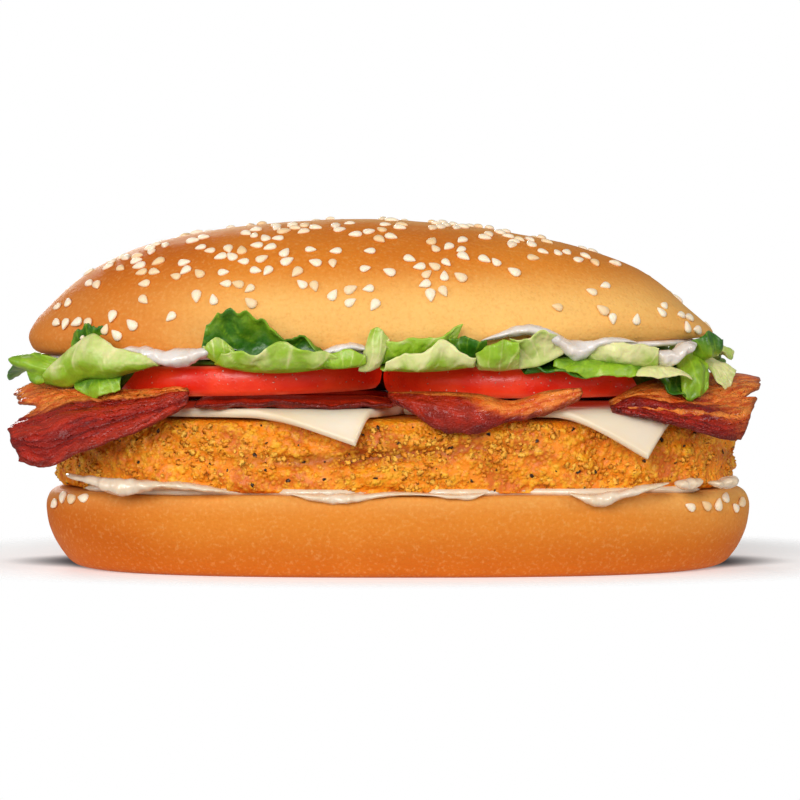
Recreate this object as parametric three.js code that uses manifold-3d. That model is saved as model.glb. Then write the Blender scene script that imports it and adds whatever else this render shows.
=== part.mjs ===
// A long chicken sandwich: a sesame bun cut in two, and between its halves sauce, a breaded chicken
// patty, two slices of cheese, six strips of bacon, two slices of tomato, torn lettuce and more sauce.
// Millimetres. +X runs along the bun, -Y is the side it is served from, +Z is up.
// The origin is the middle of the flat base.
import * as THREE from "three";
import { mergeVertices } from "three/addons/utils/BufferGeometryUtils.js";
import Module from "manifold-3d";

const wasm = await Module();
wasm.setup();

// Driving dimensions of the stack
const GAP = 0.3; // air between two pieces that rest on each other
const HEEL = { halfLength: 90, halfWidth: 40, squareness: 2.5, x: 0 };
const HEEL_HEIGHT = 20.4;
const PATTY = { halfLength: 88, halfWidth: 38.5, squareness: 2.5, x: -0.5 };
const PATTY_BOTTOM = 21.6;
const PATTY_TOP = 39.3;
const CHEESE_SIDE = 66;
const CHEESE_THICKNESS = 2.2;
const BACON_THICKNESS = 1.9;
const TOMATO_THICKNESS = 7.4;
const SAUCE_THICKNESS = 0.8;
const LOBE_LIP = 0.9; // a lobe of the upper sauce is squeezed up this far in front of the crown
const CROWN = { halfLength: 87.5, halfWidth: 40, squareness: 2.35, x: -6.8 };
const CROWN_CUT = 56.4; // the crown's cut face, at its middle
const CROWN_SLOPE = 0.025; // the crown rests a little higher at its right end
const CROWN_TUCK = 3.6; // from the cut face up to the widest ring
const CROWN_DOME = 28.7; // from the widest ring up to the top
const CROWN_LEAN = 11; // the dome's top lies this far to the left of its middle
const LEAN_POWER = 1.6; // above 1 the dome leans more the higher it rises
const DOME_HOLLOW = 0.045; // how much slimmer than an ellipsoid the dome's ends are half way up
const DOME_BLUNT = 0.86; // below 1 the dome's sides are fuller than an ellipsoid's
const END_DROOP = { from: 60, to: 82, depth: 5, over: 5 }; // how the crown's right end hangs down
const SEED = { length: 3.4, width: 2.3, height: 1.7, lift: 0.15 };
const CROWN_SEEDS = 105;
const SEEDS_REACH_DOWN = { middle: 0.25, end: 0.03 }; // lowest seeds, as shares of the dome's height

const CHEESE_BOTTOM = PATTY_TOP + GAP;
const BACON_MIDDLE = CHEESE_BOTTOM + CHEESE_THICKNESS + GAP + BACON_THICKNESS / 2;
const TOMATO_BOTTOM = BACON_MIDDLE + BACON_THICKNESS / 2 + GAP;
const LETTUCE_BOTTOM = TOMATO_BOTTOM + TOMATO_THICKNESS + GAP;

const SECTORS = { bun: 40, patty: 52, sauce: 44, tomato: 32, lettuce: 32 }; // faces round each piece

const COLOURS = {
  crust: 0xd98a3c,
  sauce: 0xf1e6d6,
  chicken: 0xd98324,
  cheese: 0xf1dfb8,
  bacon: 0x9c3220,
  tomato: 0xcf3a1e,
  lettuce: 0x9dbb4b,
};

// Solids and geometry

function toSolid(geometry) {
  const bare = geometry.clone();
  for (const name of Object.keys(bare.attributes)) {
    if (name !== "position") bare.deleteAttribute(name);
  }
  const merged = mergeVertices(bare, 1e-4);
  const corners = merged.index.array;
  const kept = [];
  for (let i = 0; i < corners.length; i += 3) {
    const [a, b, c] = corners.slice(i, i + 3);
    if (a !== b && b !== c && c !== a) kept.push(a, b, c);
  }
  return new wasm.Manifold(
    new wasm.Mesh({
      numProp: 3,
      vertProperties: new Float32Array(merged.attributes.position.array),
      triVerts: new Uint32Array(kept),
    }),
  );
}

function toGeometry(solid) {
  const mesh = solid.getMesh();
  const geometry = new THREE.BufferGeometry();
  geometry.setAttribute("position", new THREE.BufferAttribute(mesh.vertProperties, 3));
  geometry.setIndex(new THREE.BufferAttribute(mesh.triVerts, 1));
  return geometry;
}

// The largest body of a solid: a cut can leave loose scraps.
function largestBody(solid) {
  const bodies = solid.decompose();
  return bodies.reduce((best, body) => (body.volume() > best.volume() ? body : best));
}

// Random numbers from 0 to 1, the same on every run
function seededRandom(seed) {
  let state = seed;
  return () => {
    state = (Math.imul(state, 1664525) + 1013904223) >>> 0;
    return state / 4294967296;
  };
}

function smoothStep(low, high, value) {
  return THREE.MathUtils.smoothstep(value, low, high);
}

// Outlines: a long bun's plan is an oval with blunt ends

function signedPower(value, power) {
  return Math.sign(value) * Math.abs(value) ** power;
}

function outlinePoint(oval, angle) {
  const power = 2 / oval.squareness;
  return new THREE.Vector2(
    oval.x + oval.halfLength * signedPower(Math.cos(angle), power),
    oval.halfWidth * signedPower(Math.sin(angle), power),
  );
}

function outlineNormal(oval, angle) {
  const step = 0.02;
  const along = outlinePoint(oval, angle + step).sub(outlinePoint(oval, angle - step));
  return new THREE.Vector2(along.y, -along.x).normalize();
}

// The angle at which an oval's front edge passes a given x
function frontAngle(oval, x) {
  const share = THREE.MathUtils.clamp((x - oval.x) / oval.halfLength, -1, 1);
  return -Math.acos(signedPower(share, oval.squareness / 2));
}

// A closed solid turned from a profile of [share of the outline, height], from the middle of its
// underside out and up to the middle of its top. place() gets the plan point, the share, the height
// and the angle, and returns where that point really is.
function turnedSolid(oval, profile, sectors, place) {
  const lathe = new THREE.LatheGeometry(
    profile.map(([share, height]) => new THREE.Vector2(share, height)),
    sectors,
  );
  lathe.rotateX(Math.PI / 2);
  const position = lathe.attributes.position;
  for (let i = 0; i < position.count; i++) {
    const angle = Math.atan2(position.getY(i), position.getX(i));
    const share = Math.hypot(position.getX(i), position.getY(i));
    const edge = outlinePoint(oval, angle);
    const x = oval.x + (edge.x - oval.x) * share;
    const moved = place(x, edge.y * share, share, position.getZ(i), angle);
    position.setXYZ(i, moved.x, moved.y, moved.z);
  }
  return toSolid(lathe);
}

// A sheet of food: middle(u, v) is its middle surface and thickness(u, v) how thick it is there.
// Both faces are the same grid, so that they never cross.
function sheetSolid(columns, rows, middle, thickness) {
  const grid = new THREE.PlaneGeometry(1, 1, columns, rows);
  const count = grid.attributes.position.count;
  const points = new Float32Array(count * 6);
  const step = 1e-3;
  for (let i = 0; i < count; i++) {
    const u = grid.attributes.position.getX(i) + 0.5;
    const v = grid.attributes.position.getY(i) + 0.5;
    const along = middle(u + step, v).sub(middle(u - step, v));
    const across = middle(u, v + step).sub(middle(u, v - step));
    const normal = along.cross(across).normalize();
    const half = thickness(u, v) / 2;
    middle(u, v).addScaledVector(normal, half).toArray(points, i * 3);
    middle(u, v).addScaledVector(normal, -half).toArray(points, (count + i) * 3);
  }
  const faces = [];
  const corners = grid.index.array;
  for (let i = 0; i < corners.length; i += 3) {
    const [a, b, c] = corners.slice(i, i + 3);
    faces.push(a, b, c, count + a, count + c, count + b);
  }
  const wide = columns + 1;
  const rim = [];
  for (let i = 0; i < columns; i++) rim.push(i);
  for (let j = 0; j < rows; j++) rim.push(j * wide + columns);
  for (let i = columns; i > 0; i--) rim.push(rows * wide + i);
  for (let j = rows; j > 0; j--) rim.push(j * wide);
  rim.forEach((a, i) => {
    const b = rim[(i + 1) % rim.length];
    faces.push(a, b, count + b, a, count + b, count + a);
  });
  const sheet = new THREE.BufferGeometry();
  sheet.setAttribute("position", new THREE.BufferAttribute(points, 3));
  sheet.setIndex(faces);
  return toSolid(sheet);
}

// The lower half of the bun, with its few seeds on the shoulder near the ends

const HEEL_PROFILE = [
  [0, 0],
  [0.875, 0],
  [0.925, 1.2],
  [0.963, 5],
  [0.99, 10],
  [1, 14.5],
  [0.998, 17.4],
  [0.985, 19.5],
  [0.955, HEEL_HEIGHT],
  [0, HEEL_HEIGHT],
];

function heelPoint(angle, share, height) {
  const edge = outlinePoint(HEEL, angle);
  return new THREE.Vector3(edge.x * share, edge.y * share, height);
}

// A sesame seed lying on a surface: its long axis is turned by spin, and it is narrower at one end
function seedSolid(point, normal, spin) {
  const seed = new THREE.SphereGeometry(0.5, 6, 2);
  seed.rotateX(Math.PI / 2);
  const position = seed.attributes.position;
  for (let i = 0; i < position.count; i++) {
    position.setX(i, position.getX(i) * (1 - 0.5 * position.getY(i)));
  }
  seed.scale(SEED.width, SEED.length, SEED.height);
  const frame = new THREE.Quaternion().setFromUnitVectors(new THREE.Vector3(0, 0, 1), normal);
  const turn = new THREE.Quaternion().setFromAxisAngle(new THREE.Vector3(0, 0, 1), spin);
  seed.applyQuaternion(frame.multiply(turn));
  const place = point.clone().addScaledVector(normal, SEED.lift);
  seed.translate(place.x, place.y, place.z);
  return toSolid(seed);
}

const HEEL_SEED_SPOTS = [
  { from: 196, to: 214, count: 4 }, // front left
  { from: 318, to: 346, count: 6 }, // front right
  { from: 20, to: 40, count: 3 }, // back right
  { from: 140, to: 165, count: 4 }, // back left
];
const HEEL_SEED_LOW = 15.6;
const HEEL_SEED_HIGH = 19.6;

function heelSeeds() {
  const random = seededRandom(11);
  const seeds = [];
  for (const spot of HEEL_SEED_SPOTS) {
    for (let i = 0; i < spot.count; i++) {
      const place = (i + 0.25 + 0.5 * random()) / spot.count;
      const angle = THREE.MathUtils.degToRad(spot.from + (spot.to - spot.from) * place);
      const height = HEEL_SEED_LOW + (HEEL_SEED_HIGH - HEEL_SEED_LOW) * random();
      const share = 1 - 0.015 * smoothStep(17.4, 19.5, height);
      const out = outlineNormal(HEEL, angle);
      const lift = smoothStep(16, 20.4, height);
      const normal = new THREE.Vector3(out.x, out.y, lift).normalize();
      seeds.push(seedSolid(heelPoint(angle, share, height), normal, Math.PI * random()));
    }
  }
  return seeds;
}

function heelSolid() {
  const bread = turnedSolid(HEEL, HEEL_PROFILE, SECTORS.bun, (x, y, share, height) => {
    return new THREE.Vector3(x, y, height);
  });
  return largestBody(wasm.Manifold.union([bread, ...heelSeeds()]));
}

// The upper half of the bun, its dome strewn with seeds

function crownCut(x) {
  return CROWN_CUT + CROWN_SLOPE * (x - CROWN.x);
}

function domeProfile(steps) {
  const profile = [
    [0, 0],
    [0.6, 0],
    [0.95, 0],
    [0.984, 1.1],
    [1, CROWN_TUCK],
  ];
  for (let i = 1; i < steps; i++) {
    const rise = (i / steps) * (Math.PI / 2);
    profile.push([Math.cos(rise) ** DOME_BLUNT, CROWN_TUCK + CROWN_DOME * Math.sin(rise)]);
  }
  profile.push([0, CROWN_TUCK + CROWN_DOME]);
  return profile;
}

// The right end droops, not at its cut face but more and more up to a few millimetres above it.
function endDroop(px, height) {
  const { from, to, depth, over } = END_DROOP;
  return depth * smoothStep(from, to, px) * (1 - Math.exp(-height / over));
}

function crownPlace(x, y, share, height) {
  const risen = THREE.MathUtils.clamp((height - CROWN_TUCK) / CROWN_DOME, 0, 1);
  const level = Math.max(Math.sqrt(1 - risen * risen), 1e-6);
  const slim = (level - DOME_HOLLOW * Math.sin(Math.PI * risen)) / level ** DOME_BLUNT;
  const px = CROWN.x + (x - CROWN.x) * slim - CROWN_LEAN * risen ** LEAN_POWER;
  return new THREE.Vector3(px, y, crownCut(px) + height - endDroop(px, height));
}

// A point of the dome in the direction of a unit vector
function domePoint(direction) {
  const edge = outlinePoint(CROWN, Math.atan2(direction.y, direction.x));
  const risen = THREE.MathUtils.clamp(direction.z, 0, 1);
  const share = Math.sqrt(1 - risen * risen) ** DOME_BLUNT;
  const x = CROWN.x + (edge.x - CROWN.x) * share;
  return crownPlace(x, edge.y * share, share, CROWN_TUCK + CROWN_DOME * risen);
}

function domeNormal(direction) {
  const side = new THREE.Vector3(-direction.y, direction.x, 0).normalize().multiplyScalar(0.02);
  const up = new THREE.Vector3().crossVectors(direction, side);
  const across = domePoint(direction.clone().add(side).normalize());
  across.sub(domePoint(direction.clone().sub(side).normalize()));
  const along = domePoint(direction.clone().add(up).normalize());
  along.sub(domePoint(direction.clone().sub(up).normalize()));
  return across.cross(along).normalize();
}

// Seeds lie no lower on the dome than this, and come down further at its ends than in the middle.
function lowestSeed(direction) {
  const { middle, end } = SEEDS_REACH_DOWN;
  return middle + (end - middle) * smoothStep(0.3, 0.75, Math.abs(direction.x));
}

// Seeds fall evenly over the dome's area, many of them in little groups
function crownSeedSpots() {
  const random = seededRandom(29);
  const spots = [];
  const { halfLength: a, halfWidth: b } = CROWN;
  const c = CROWN_DOME;
  const nearest = 2.8;
  let tries = 0;
  while (spots.length < CROWN_SEEDS && tries++ < 20000) {
    const turn = 2 * Math.PI * random();
    const height = random();
    const draw = random();
    const chance = random();
    const grouped = spots.length > 0 && chance < 0.38;
    const flat = Math.sqrt(1 - height * height);
    let direction = new THREE.Vector3(flat * Math.cos(turn), flat * Math.sin(turn), height);
    if (grouped) {
      const friend = spots[spots.length - 1].direction;
      const step = new THREE.Vector3(Math.cos(turn) / a, Math.sin(turn) / b, (draw - 0.5) / c);
      direction = friend.clone().addScaledVector(step, 3.6).normalize();
    } else {
      const area = Math.hypot(b * c * direction.x, a * c * direction.y, a * b * direction.z);
      if (draw > area / (a * b)) continue;
    }
    if (direction.z < lowestSeed(direction)) continue;
    const point = domePoint(direction);
    if (spots.some((spot) => spot.point.distanceTo(point) < nearest)) continue;
    spots.push({ direction, point, normal: domeNormal(direction), spin: Math.PI * 2 * draw });
  }
  return spots;
}

function crownSolid() {
  const bread = turnedSolid(CROWN, domeProfile(8), SECTORS.bun, crownPlace);
  const seeds = crownSeedSpots().map((spot) => seedSolid(spot.point, spot.normal, spot.spin));
  return largestBody(wasm.Manifold.union([bread, ...seeds]));
}

// The breaded patty: lumps round its side, and a crease half way up in places

function pattyLump(x, y, z) {
  const large = Math.sin(0.115 * x + 1.3) * Math.cos(0.21 * z + 0.07 * x) + Math.sin(0.19 * y + 0.6);
  const small = Math.sin(0.31 * x + 0.5 * z + 2.1) * Math.cos(0.27 * y - 0.42 * z + 0.4);
  return 0.75 * large + 0.7 * small;
}

function pattyCrease(x, z) {
  const where = 0.5 + 0.5 * Math.sin(0.055 * x + 1.9);
  const level = 30.5 + 1.6 * Math.sin(0.06 * x);
  return 1.7 * where * Math.exp(-(((z - level) / 1.5) ** 2));
}

const PATTY_PROFILE = [
  [0, 0],
  [0.93, 0.1],
  [0.975, 1.2],
  [0.992, 3.6],
  [0.997, 6.4],
  [1, 8.6],
  [1, 10.8],
  [0.997, 13.2],
  [0.985, 15],
  [0.955, 16.7],
  [0.88, 17.5],
  [0, 17.7],
];

function pattySolid() {
  return turnedSolid(PATTY, PATTY_PROFILE, SECTORS.patty, (x, y, share, height, angle) => {
    const z = PATTY_BOTTOM + height;
    const side = smoothStep(0.93, 0.99, share);
    const out = outlineNormal(PATTY, angle);
    const relief = side * (pattyLump(x, y, z) - pattyCrease(x, z) - 0.5);
    return new THREE.Vector3(x + out.x * relief, y + out.y * relief, z);
  });
}

// Sauce: a thin film over the whole layer, with lobes that swell out at its edge.
// A lobe is centred at an x of the front or the back edge, and swells to a share of the outline.

const LOWER_LOBES = [
  { x: -60, side: -1, width: 15, swell: 1 },
  { x: -79, side: -1, width: 5, swell: 0.75 },
  { x: -21, side: -1, width: 10, swell: 0.8 },
  { x: 17, side: -1, width: 9, swell: 0.55 },
  { x: 52, side: -1, width: 12, swell: 1 },
  { x: 75, side: -1, width: 5, swell: 0.9 },
  { x: -40, side: 1, width: 14, swell: 0.9 },
  { x: 8, side: 1, width: 10, swell: 0.7 },
  { x: 58, side: 1, width: 15, swell: 1 },
];

const UPPER_LOBES = [
  { x: -56, side: -1, width: 16, swell: 1 },
  { x: -16, side: -1, width: 10, swell: 0.9 },
  { x: 33, side: -1, width: 14, swell: 1 },
  { x: 54, side: -1, width: 8, swell: 0.8 },
  { x: 69, side: -1, width: 8, swell: 0.9 },
  { x: -30, side: 1, width: 14, swell: 1 },
  { x: 26, side: 1, width: 16, swell: 0.8 },
];

// How far the sauce swells at a plan point, from 0 to 1
function lobeSwell(lobes, x, y) {
  return lobes.reduce((most, lobe) => {
    const near = Math.sign(y) === lobe.side ? Math.exp(-(((x - lobe.x) / lobe.width) ** 4)) : 0;
    return Math.max(most, near * lobe.swell);
  }, 0);
}

function lowerSauceSolid() {
  const bottom = HEEL_HEIGHT + GAP;
  const top = PATTY_BOTTOM - GAP;
  const film = [
    [0, bottom],
    [0.88, bottom],
    [0.965, bottom],
    [0.985, (bottom + top) / 2],
    [0.965, top],
    [0.88, top],
    [0, top],
  ];
  return turnedSolid(HEEL, film, SECTORS.sauce, (x, y, share, height) => {
    const swell = lobeSwell(LOWER_LOBES, x, y);
    const edge = smoothStep(0.88, 0.965, share);
    const reach = 1 - 0.055 * edge * (1 - swell);
    const rise = edge * swell * (height > (bottom + top) / 2 ? 1.1 : -0.15);
    const sag = edge * swell * 0.6 * smoothStep(0.965, 0.985, share);
    return new THREE.Vector3(x * reach, y * reach, height + rise - sag);
  });
}

function upperSauceSolid() {
  const thickness = SAUCE_THICKNESS;
  const film = [
    [0, 0],
    [0.86, 0],
    [0.955, 0],
    [0.985, thickness / 2],
    [0.955, thickness],
    [0.86, thickness],
    [0, thickness],
  ];
  return turnedSolid(CROWN, film, SECTORS.sauce, (x, y, share, height) => {
    const swell = lobeSwell(UPPER_LOBES, x, y);
    const edge = smoothStep(0.86, 0.955, share);
    const reach = 1 - edge * (0.07 - 0.1 * swell);
    const lip = smoothStep(0.955, 0.985, share) * swell * LOBE_LIP;
    const px = CROWN.x + (x - CROWN.x) * reach;
    return new THREE.Vector3(px, y * reach, crownCut(px) - GAP - thickness + height + lip);
  });
}

// The space of the crown and the sauce under it, which the lettuce leaves free
function crownSpace() {
  const underside = -2 * GAP - SAUCE_THICKNESS;
  const space = [
    [0, underside],
    [1, underside],
    [1.035, underside + 0.5],
    [1.035, CROWN_TUCK + 8],
    [0, CROWN_TUCK + 8],
  ];
  return turnedSolid(CROWN, space, SECTORS.lettuce, (x, y, share, height) => {
    return new THREE.Vector3(x, y, crownCut(x) + height);
  });
}

// Cheese: square slices laid corner forward, bent down over the patty's edge

const CHEESE_SLICES = {
  cheese_left: { corner: [-10.4, -48.5], turn: 22, bend: 62 },
  cheese_right: { corner: [62.6, -46.2], turn: 22, bend: 62 },
};
const BEND_START = -1; // the slice starts to bend this far inside the patty's edge
const BEND_LENGTH = 6;

// Where a plan point of a slice comes to lie once the slice has bent over the patty's edge
function drape(x, y, level, bend) {
  const across = new THREE.Vector2((x - PATTY.x) / PATTY.halfLength, y / PATTY.halfWidth);
  const n = PATTY.squareness;
  const share = (Math.abs(across.x) ** n + Math.abs(across.y) ** n) ** (1 / n);
  const slope = new THREE.Vector2(
    signedPower(across.x, n - 1) / PATTY.halfLength,
    signedPower(across.y, n - 1) / PATTY.halfWidth,
  ).multiplyScalar(share ** (1 - n));
  const out = slope.clone().normalize();
  const past = (share - 1) / Math.max(slope.length(), 1e-6) - BEND_START;
  if (!(past > 0)) return new THREE.Vector3(x, y, level);
  const most = THREE.MathUtils.degToRad(bend);
  const turned = Math.min(past, BEND_LENGTH);
  const angle = (most * turned) / BEND_LENGTH;
  const straight = past - turned;
  const radius = BEND_LENGTH / most;
  const run = radius * Math.sin(angle) + straight * Math.cos(angle);
  const drop = radius * (1 - Math.cos(angle)) + straight * Math.sin(angle);
  return new THREE.Vector3(x + out.x * (run - past), y + out.y * (run - past), level - drop);
}

function cheeseSolid({ corner, turn, bend }) {
  const angle = THREE.MathUtils.degToRad(turn);
  const level = CHEESE_BOTTOM + CHEESE_THICKNESS / 2;
  const middle = (u, v) => {
    const left = u * CHEESE_SIDE;
    const back = v * CHEESE_SIDE;
    const x = corner[0] - left * Math.cos(angle) + back * Math.sin(angle);
    const y = corner[1] + left * Math.sin(angle) + back * Math.cos(angle);
    return drape(x, y, level, bend);
  };
  return sheetSolid(8, 8, middle, () => CHEESE_THICKNESS);
}

// The end of a strip is loose beyond the tomato: nothing presses it flat there.
const LOOSE_FROM = 20;
const LOOSE_TO = 6;

// Bacon: a strip runs along x from one end to the other. Its front edge droops over the patty, more
// towards one end, it has long ridges, and a free end is torn into two lobes.

const BACON_STRIPS = {
  bacon_left: {
    ends: [-52, -98], back: [-7, -9], width: [34, 40], fold: [-32, -17], droop: [14, 38],
    lift: 1.5, wave: 1.1, notch: { at: 0.36, depth: 6 },
  },
  bacon_mid_left: {
    ends: [-49, -4], back: [-6, -8], width: [31, 29], fold: [-40, -40], droop: [0, 0],
    lift: 0, wave: 0, notch: { at: 0.5, depth: 1.5 },
  },
  bacon_mid_right: {
    ends: [-2.5, 45], back: [-11, -15], width: [35, 28], fold: [-33.5, -36], droop: [54, 20],
    lift: 0, wave: 0.3, notch: { at: 0.3, depth: -4 },
  },
  bacon_right: {
    ends: [49, 92], back: [-7, -6], width: [32, 35], fold: [-33.5, -17], droop: [8, 34],
    lift: 3.5, wave: 1, notch: { at: 0.45, depth: 6 },
  },
  bacon_back_left: {
    ends: [-5, -92], back: [4, 6], width: [31, 31], fold: [36, 27], droop: [2, 30],
    lift: 1, wave: 0.6, notch: { at: 0.5, depth: 4 }, toBack: true,
  },
  bacon_back_right: {
    ends: [-1, 86], back: [4, 7], width: [31, 31], fold: [38, 34], droop: [2, 24],
    lift: 1.5, wave: 0.6, notch: { at: 0.6, depth: 4 }, toBack: true,
  },
};

// A point of a strip: u from its inner to its outer end, v from its inner to its outer long edge
function baconPoint(strip, u, v) {
  const mix = ([from, to]) => from + (to - from) * u;
  const side = strip.toBack ? 1 : -1;
  const width = mix(strip.width);
  const tear = strip.notch.depth * Math.exp(-(((v - strip.notch.at) / 0.09) ** 2)) * u;
  const rounding = 5 * (2 * v - 1) ** 4 * u;
  const outward = Math.sign(strip.ends[1] - strip.ends[0]);
  const x = mix(strip.ends) - outward * (tear + rounding);
  const droop = THREE.MathUtils.degToRad(mix(strip.droop)) * smoothStep(0, 0.25, u);
  const flat = Math.max(0, (mix(strip.fold) - mix(strip.back)) * side);
  const past = Math.max(0, v * width - flat);
  const bendLength = 7;
  const turned = Math.min(past, bendLength);
  const angle = (droop * turned) / bendLength;
  const radius = bendLength / Math.max(droop, 1e-4);
  const run = radius * Math.sin(angle) + (past - turned) * Math.cos(angle);
  const drop = radius * (1 - Math.cos(angle)) + (past - turned) * Math.sin(angle);
  const toEnd = Math.abs(strip.ends[1] - strip.ends[0]) * (1 - u);
  const loose = 1 - smoothStep(LOOSE_TO, LOOSE_FROM, toEnd);
  const ridges = strip.wave * loose * Math.sin(v * 4.2 * Math.PI + 1.2 * u);
  const y = mix(strip.back) + side * (Math.min(v * width, flat) + run);
  return new THREE.Vector3(x, y, BACON_MIDDLE + strip.lift * loose + ridges - drop);
}

function baconSolid(strip, grow = 0) {
  return sheetSolid(8, 6, (u, v) => baconPoint(strip, u, v), () => BACON_THICKNESS + 2 * grow);
}

// Tomato: a slice is a disc with a rounded skin

const TOMATO_SLICES = {
  tomato_left: { x: -38.2, y: -1.8, radius: 34.2, tilt: 1.2 },
  tomato_right: { x: 29.8, y: -1.8, radius: 33.2, tilt: 0 },
};

function tomatoSolid({ x, y, radius, tilt }, grow = 0) {
  const half = TOMATO_THICKNESS / 2 + grow;
  const disc = { halfLength: radius + grow, halfWidth: radius + grow, squareness: 2, x: 0 };
  const profile = [
    [0, -half],
    [0.955, -half],
    [0.985, -0.72 * half],
    [1, -0.2 * half],
    [1, 0.3 * half],
    [0.985, 0.75 * half],
    [0.955, half],
    [0, half],
  ];
  const slope = Math.tan(THREE.MathUtils.degToRad(tilt));
  const level = TOMATO_BOTTOM + TOMATO_THICKNESS / 2;
  return turnedSolid(disc, profile, SECTORS.tomato, (px, py, share, height) => {
    return new THREE.Vector3(x + px, y + py, level + height + slope * (px + radius));
  });
}

// Lettuce: a pressed layer, and torn leaves that stand out of its edge. A leaf grows out of the
// layer's edge, between two places of the front or two bearings. Its neck lies flat under the crown,
// and its free part, of the given reach, curls from its first slope to its last.

const LEAF_THICKNESS = 0.9;
const LAYER_INSET = 0.86; // the leaves start at this share of the crown's outline
const NECK = 7.2;

const FRONT_LEAVES = [
  { bearing: [188, 204], low: 0.1, reach: 9, slopes: [-4, 14], lean: 1, frill: 0.8, waves: 1 },
  { at: [-80, -60], low: 0, reach: 13, slopes: [-6, 108], lean: -5, frill: 0.9, waves: 1.5 },
  { at: [-74, -44], low: 0.8, reach: 11, slopes: [-12, 100], lean: -2, frill: 0.6, waves: 1 },
  { at: [-86, -66], low: 0.8, reach: 9, slopes: [-14, -55], lean: -2, frill: 0.7, waves: 1 },
  { at: [-50, -24], low: 0, reach: 19, slopes: [-4, 102], lean: -3, frill: 1.3, waves: 1.5 },
  { at: [-38, -10], low: 1, reach: 7, slopes: [-14, 70], lean: 1, frill: 0.6, waves: 2 },
  { at: [-9, -3], low: 0, reach: 10, slopes: [-4, 108], lean: 0, frill: 0.2, waves: 1 },
  { at: [-2, 15], low: 0, reach: 10, slopes: [-4, 100], lean: 5, frill: 0.6, waves: 1 },
  { at: [-5, 18], low: 1.2, reach: 7, slopes: [-14, 75], lean: 0, frill: 0.5, waves: 1 },
  { at: [19, 31], low: 0, reach: 9, slopes: [-8, 100], lean: 1, frill: 0.8, waves: 1.5 },
  { at: [32, 42], low: 0.6, reach: 8, slopes: [-10, 95], lean: 2, frill: 0.4, waves: 1 },
  { at: [43, 60], low: 1, reach: 6, slopes: [-14, 60], lean: 0, frill: 0.5, waves: 1.5 },
  { at: [59, 75], low: 0.3, reach: 13, slopes: [-10, -95], lean: 3, frill: 0.8, waves: 1 },
  { at: [67, 74], low: 0, reach: 9, slopes: [0, 85], lean: 3, frill: 0.5, waves: 1 },
  { bearing: [334, 350], low: 0.4, reach: 5, slopes: [-8, -45], lean: 2, frill: 0.5, waves: 1 },
];

// Leaves round the right end, the back and the left end, which follow a rule
function otherLeaves() {
  const random = seededRandom(7);
  const leaves = [];
  for (let bearing = 8; bearing < 184; bearing += 24) {
    const wide = 10 + 5 * random();
    leaves.push({
      bearing: [bearing - wide / 2, bearing + wide / 2],
      low: 0.8 * random(),
      reach: 6 + 5 * random(),
      slopes: [-10 + 6 * random(), 110 * random() - 20],
      lean: 4 * (random() - 0.5),
      frill: 0.5 + 0.6 * random(),
      waves: 1 + random(),
    });
  }
  return leaves;
}

function layerTop(x) {
  return crownCut(x) - 2 * GAP - SAUCE_THICKNESS - 0.1;
}

function leafSolid(leaf) {
  const [start, end] = leaf.at
    ? leaf.at.map((x) => frontAngle(CROWN, x))
    : leaf.bearing.map((degrees) => THREE.MathUtils.degToRad(degrees));
  const [slope0, slope1] = leaf.slopes.map((degrees) => THREE.MathUtils.degToRad(degrees));
  const middle = (u, v) => {
    const angle = start + (end - start) * u;
    const edge = outlinePoint(CROWN, angle);
    const out = outlineNormal(CROWN, angle);
    const x = CROWN.x + (edge.x - CROWN.x) * LAYER_INSET;
    const root = layerTop(x) - 0.7 * LEAF_THICKNESS - leaf.low;
    const round = Math.sin(Math.PI * (0.12 + 0.76 * u)) ** 0.7;
    const reach = leaf.reach * round;
    const run = v * (NECK + reach);
    const flat = Math.min(run, NECK);
    const turn = (slope1 - slope0) / reach;
    const slope = slope0 + turn * (run - flat);
    const across = flat * Math.cos(slope0) + (Math.sin(slope) - Math.sin(slope0)) / turn;
    const rise = flat * Math.sin(slope0) + (Math.cos(slope0) - Math.cos(slope)) / turn;
    const ruffle = leaf.frill * smoothStep(0.3, 1, v) * Math.sin(2 * Math.PI * leaf.waves * u);
    const away = across - ruffle * Math.sin(slope);
    return new THREE.Vector3(
      x + out.x * away - out.y * leaf.lean * v,
      edge.y * LAYER_INSET + out.y * away + out.x * leaf.lean * v,
      root + rise + ruffle * Math.cos(slope),
    );
  };
  return sheetSolid(4, 4, middle, (u, v) => LEAF_THICKNESS * (1.25 - 0.5 * v));
}

function lettuceSolid(neighbours) {
  const layer = turnedSolid(
    CROWN,
    [
      [0, 0],
      [0.82, 0],
      [0.87, 0.5],
      [0.82, 1],
      [0, 1],
    ],
    SECTORS.lettuce,
    (x, y, share, height, angle) => {
      const uneven = 1 + 0.025 * smoothStep(0.5, 0.84, share) * Math.sin(9 * angle);
      const px = CROWN.x + (x - CROWN.x) * uneven;
      const z = LETTUCE_BOTTOM + (layerTop(px) - LETTUCE_BOTTOM) * height;
      return new THREE.Vector3(px, y * uneven, z);
    },
  );
  const leaves = [...FRONT_LEAVES, ...otherLeaves()].map(leafSolid);
  const heap = wasm.Manifold.union([layer, ...leaves]);
  return largestBody(neighbours.reduce((rest, other) => rest.subtract(other), heap));
}

// The sandwich

const sandwich = new THREE.Group();

function addPiece(name, solid, colour, roughness) {
  const material = new THREE.MeshStandardMaterial({ color: colour, roughness, metalness: 0 });
  const mesh = new THREE.Mesh(toGeometry(solid), material);
  mesh.name = name;
  sandwich.add(mesh);
}

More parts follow.
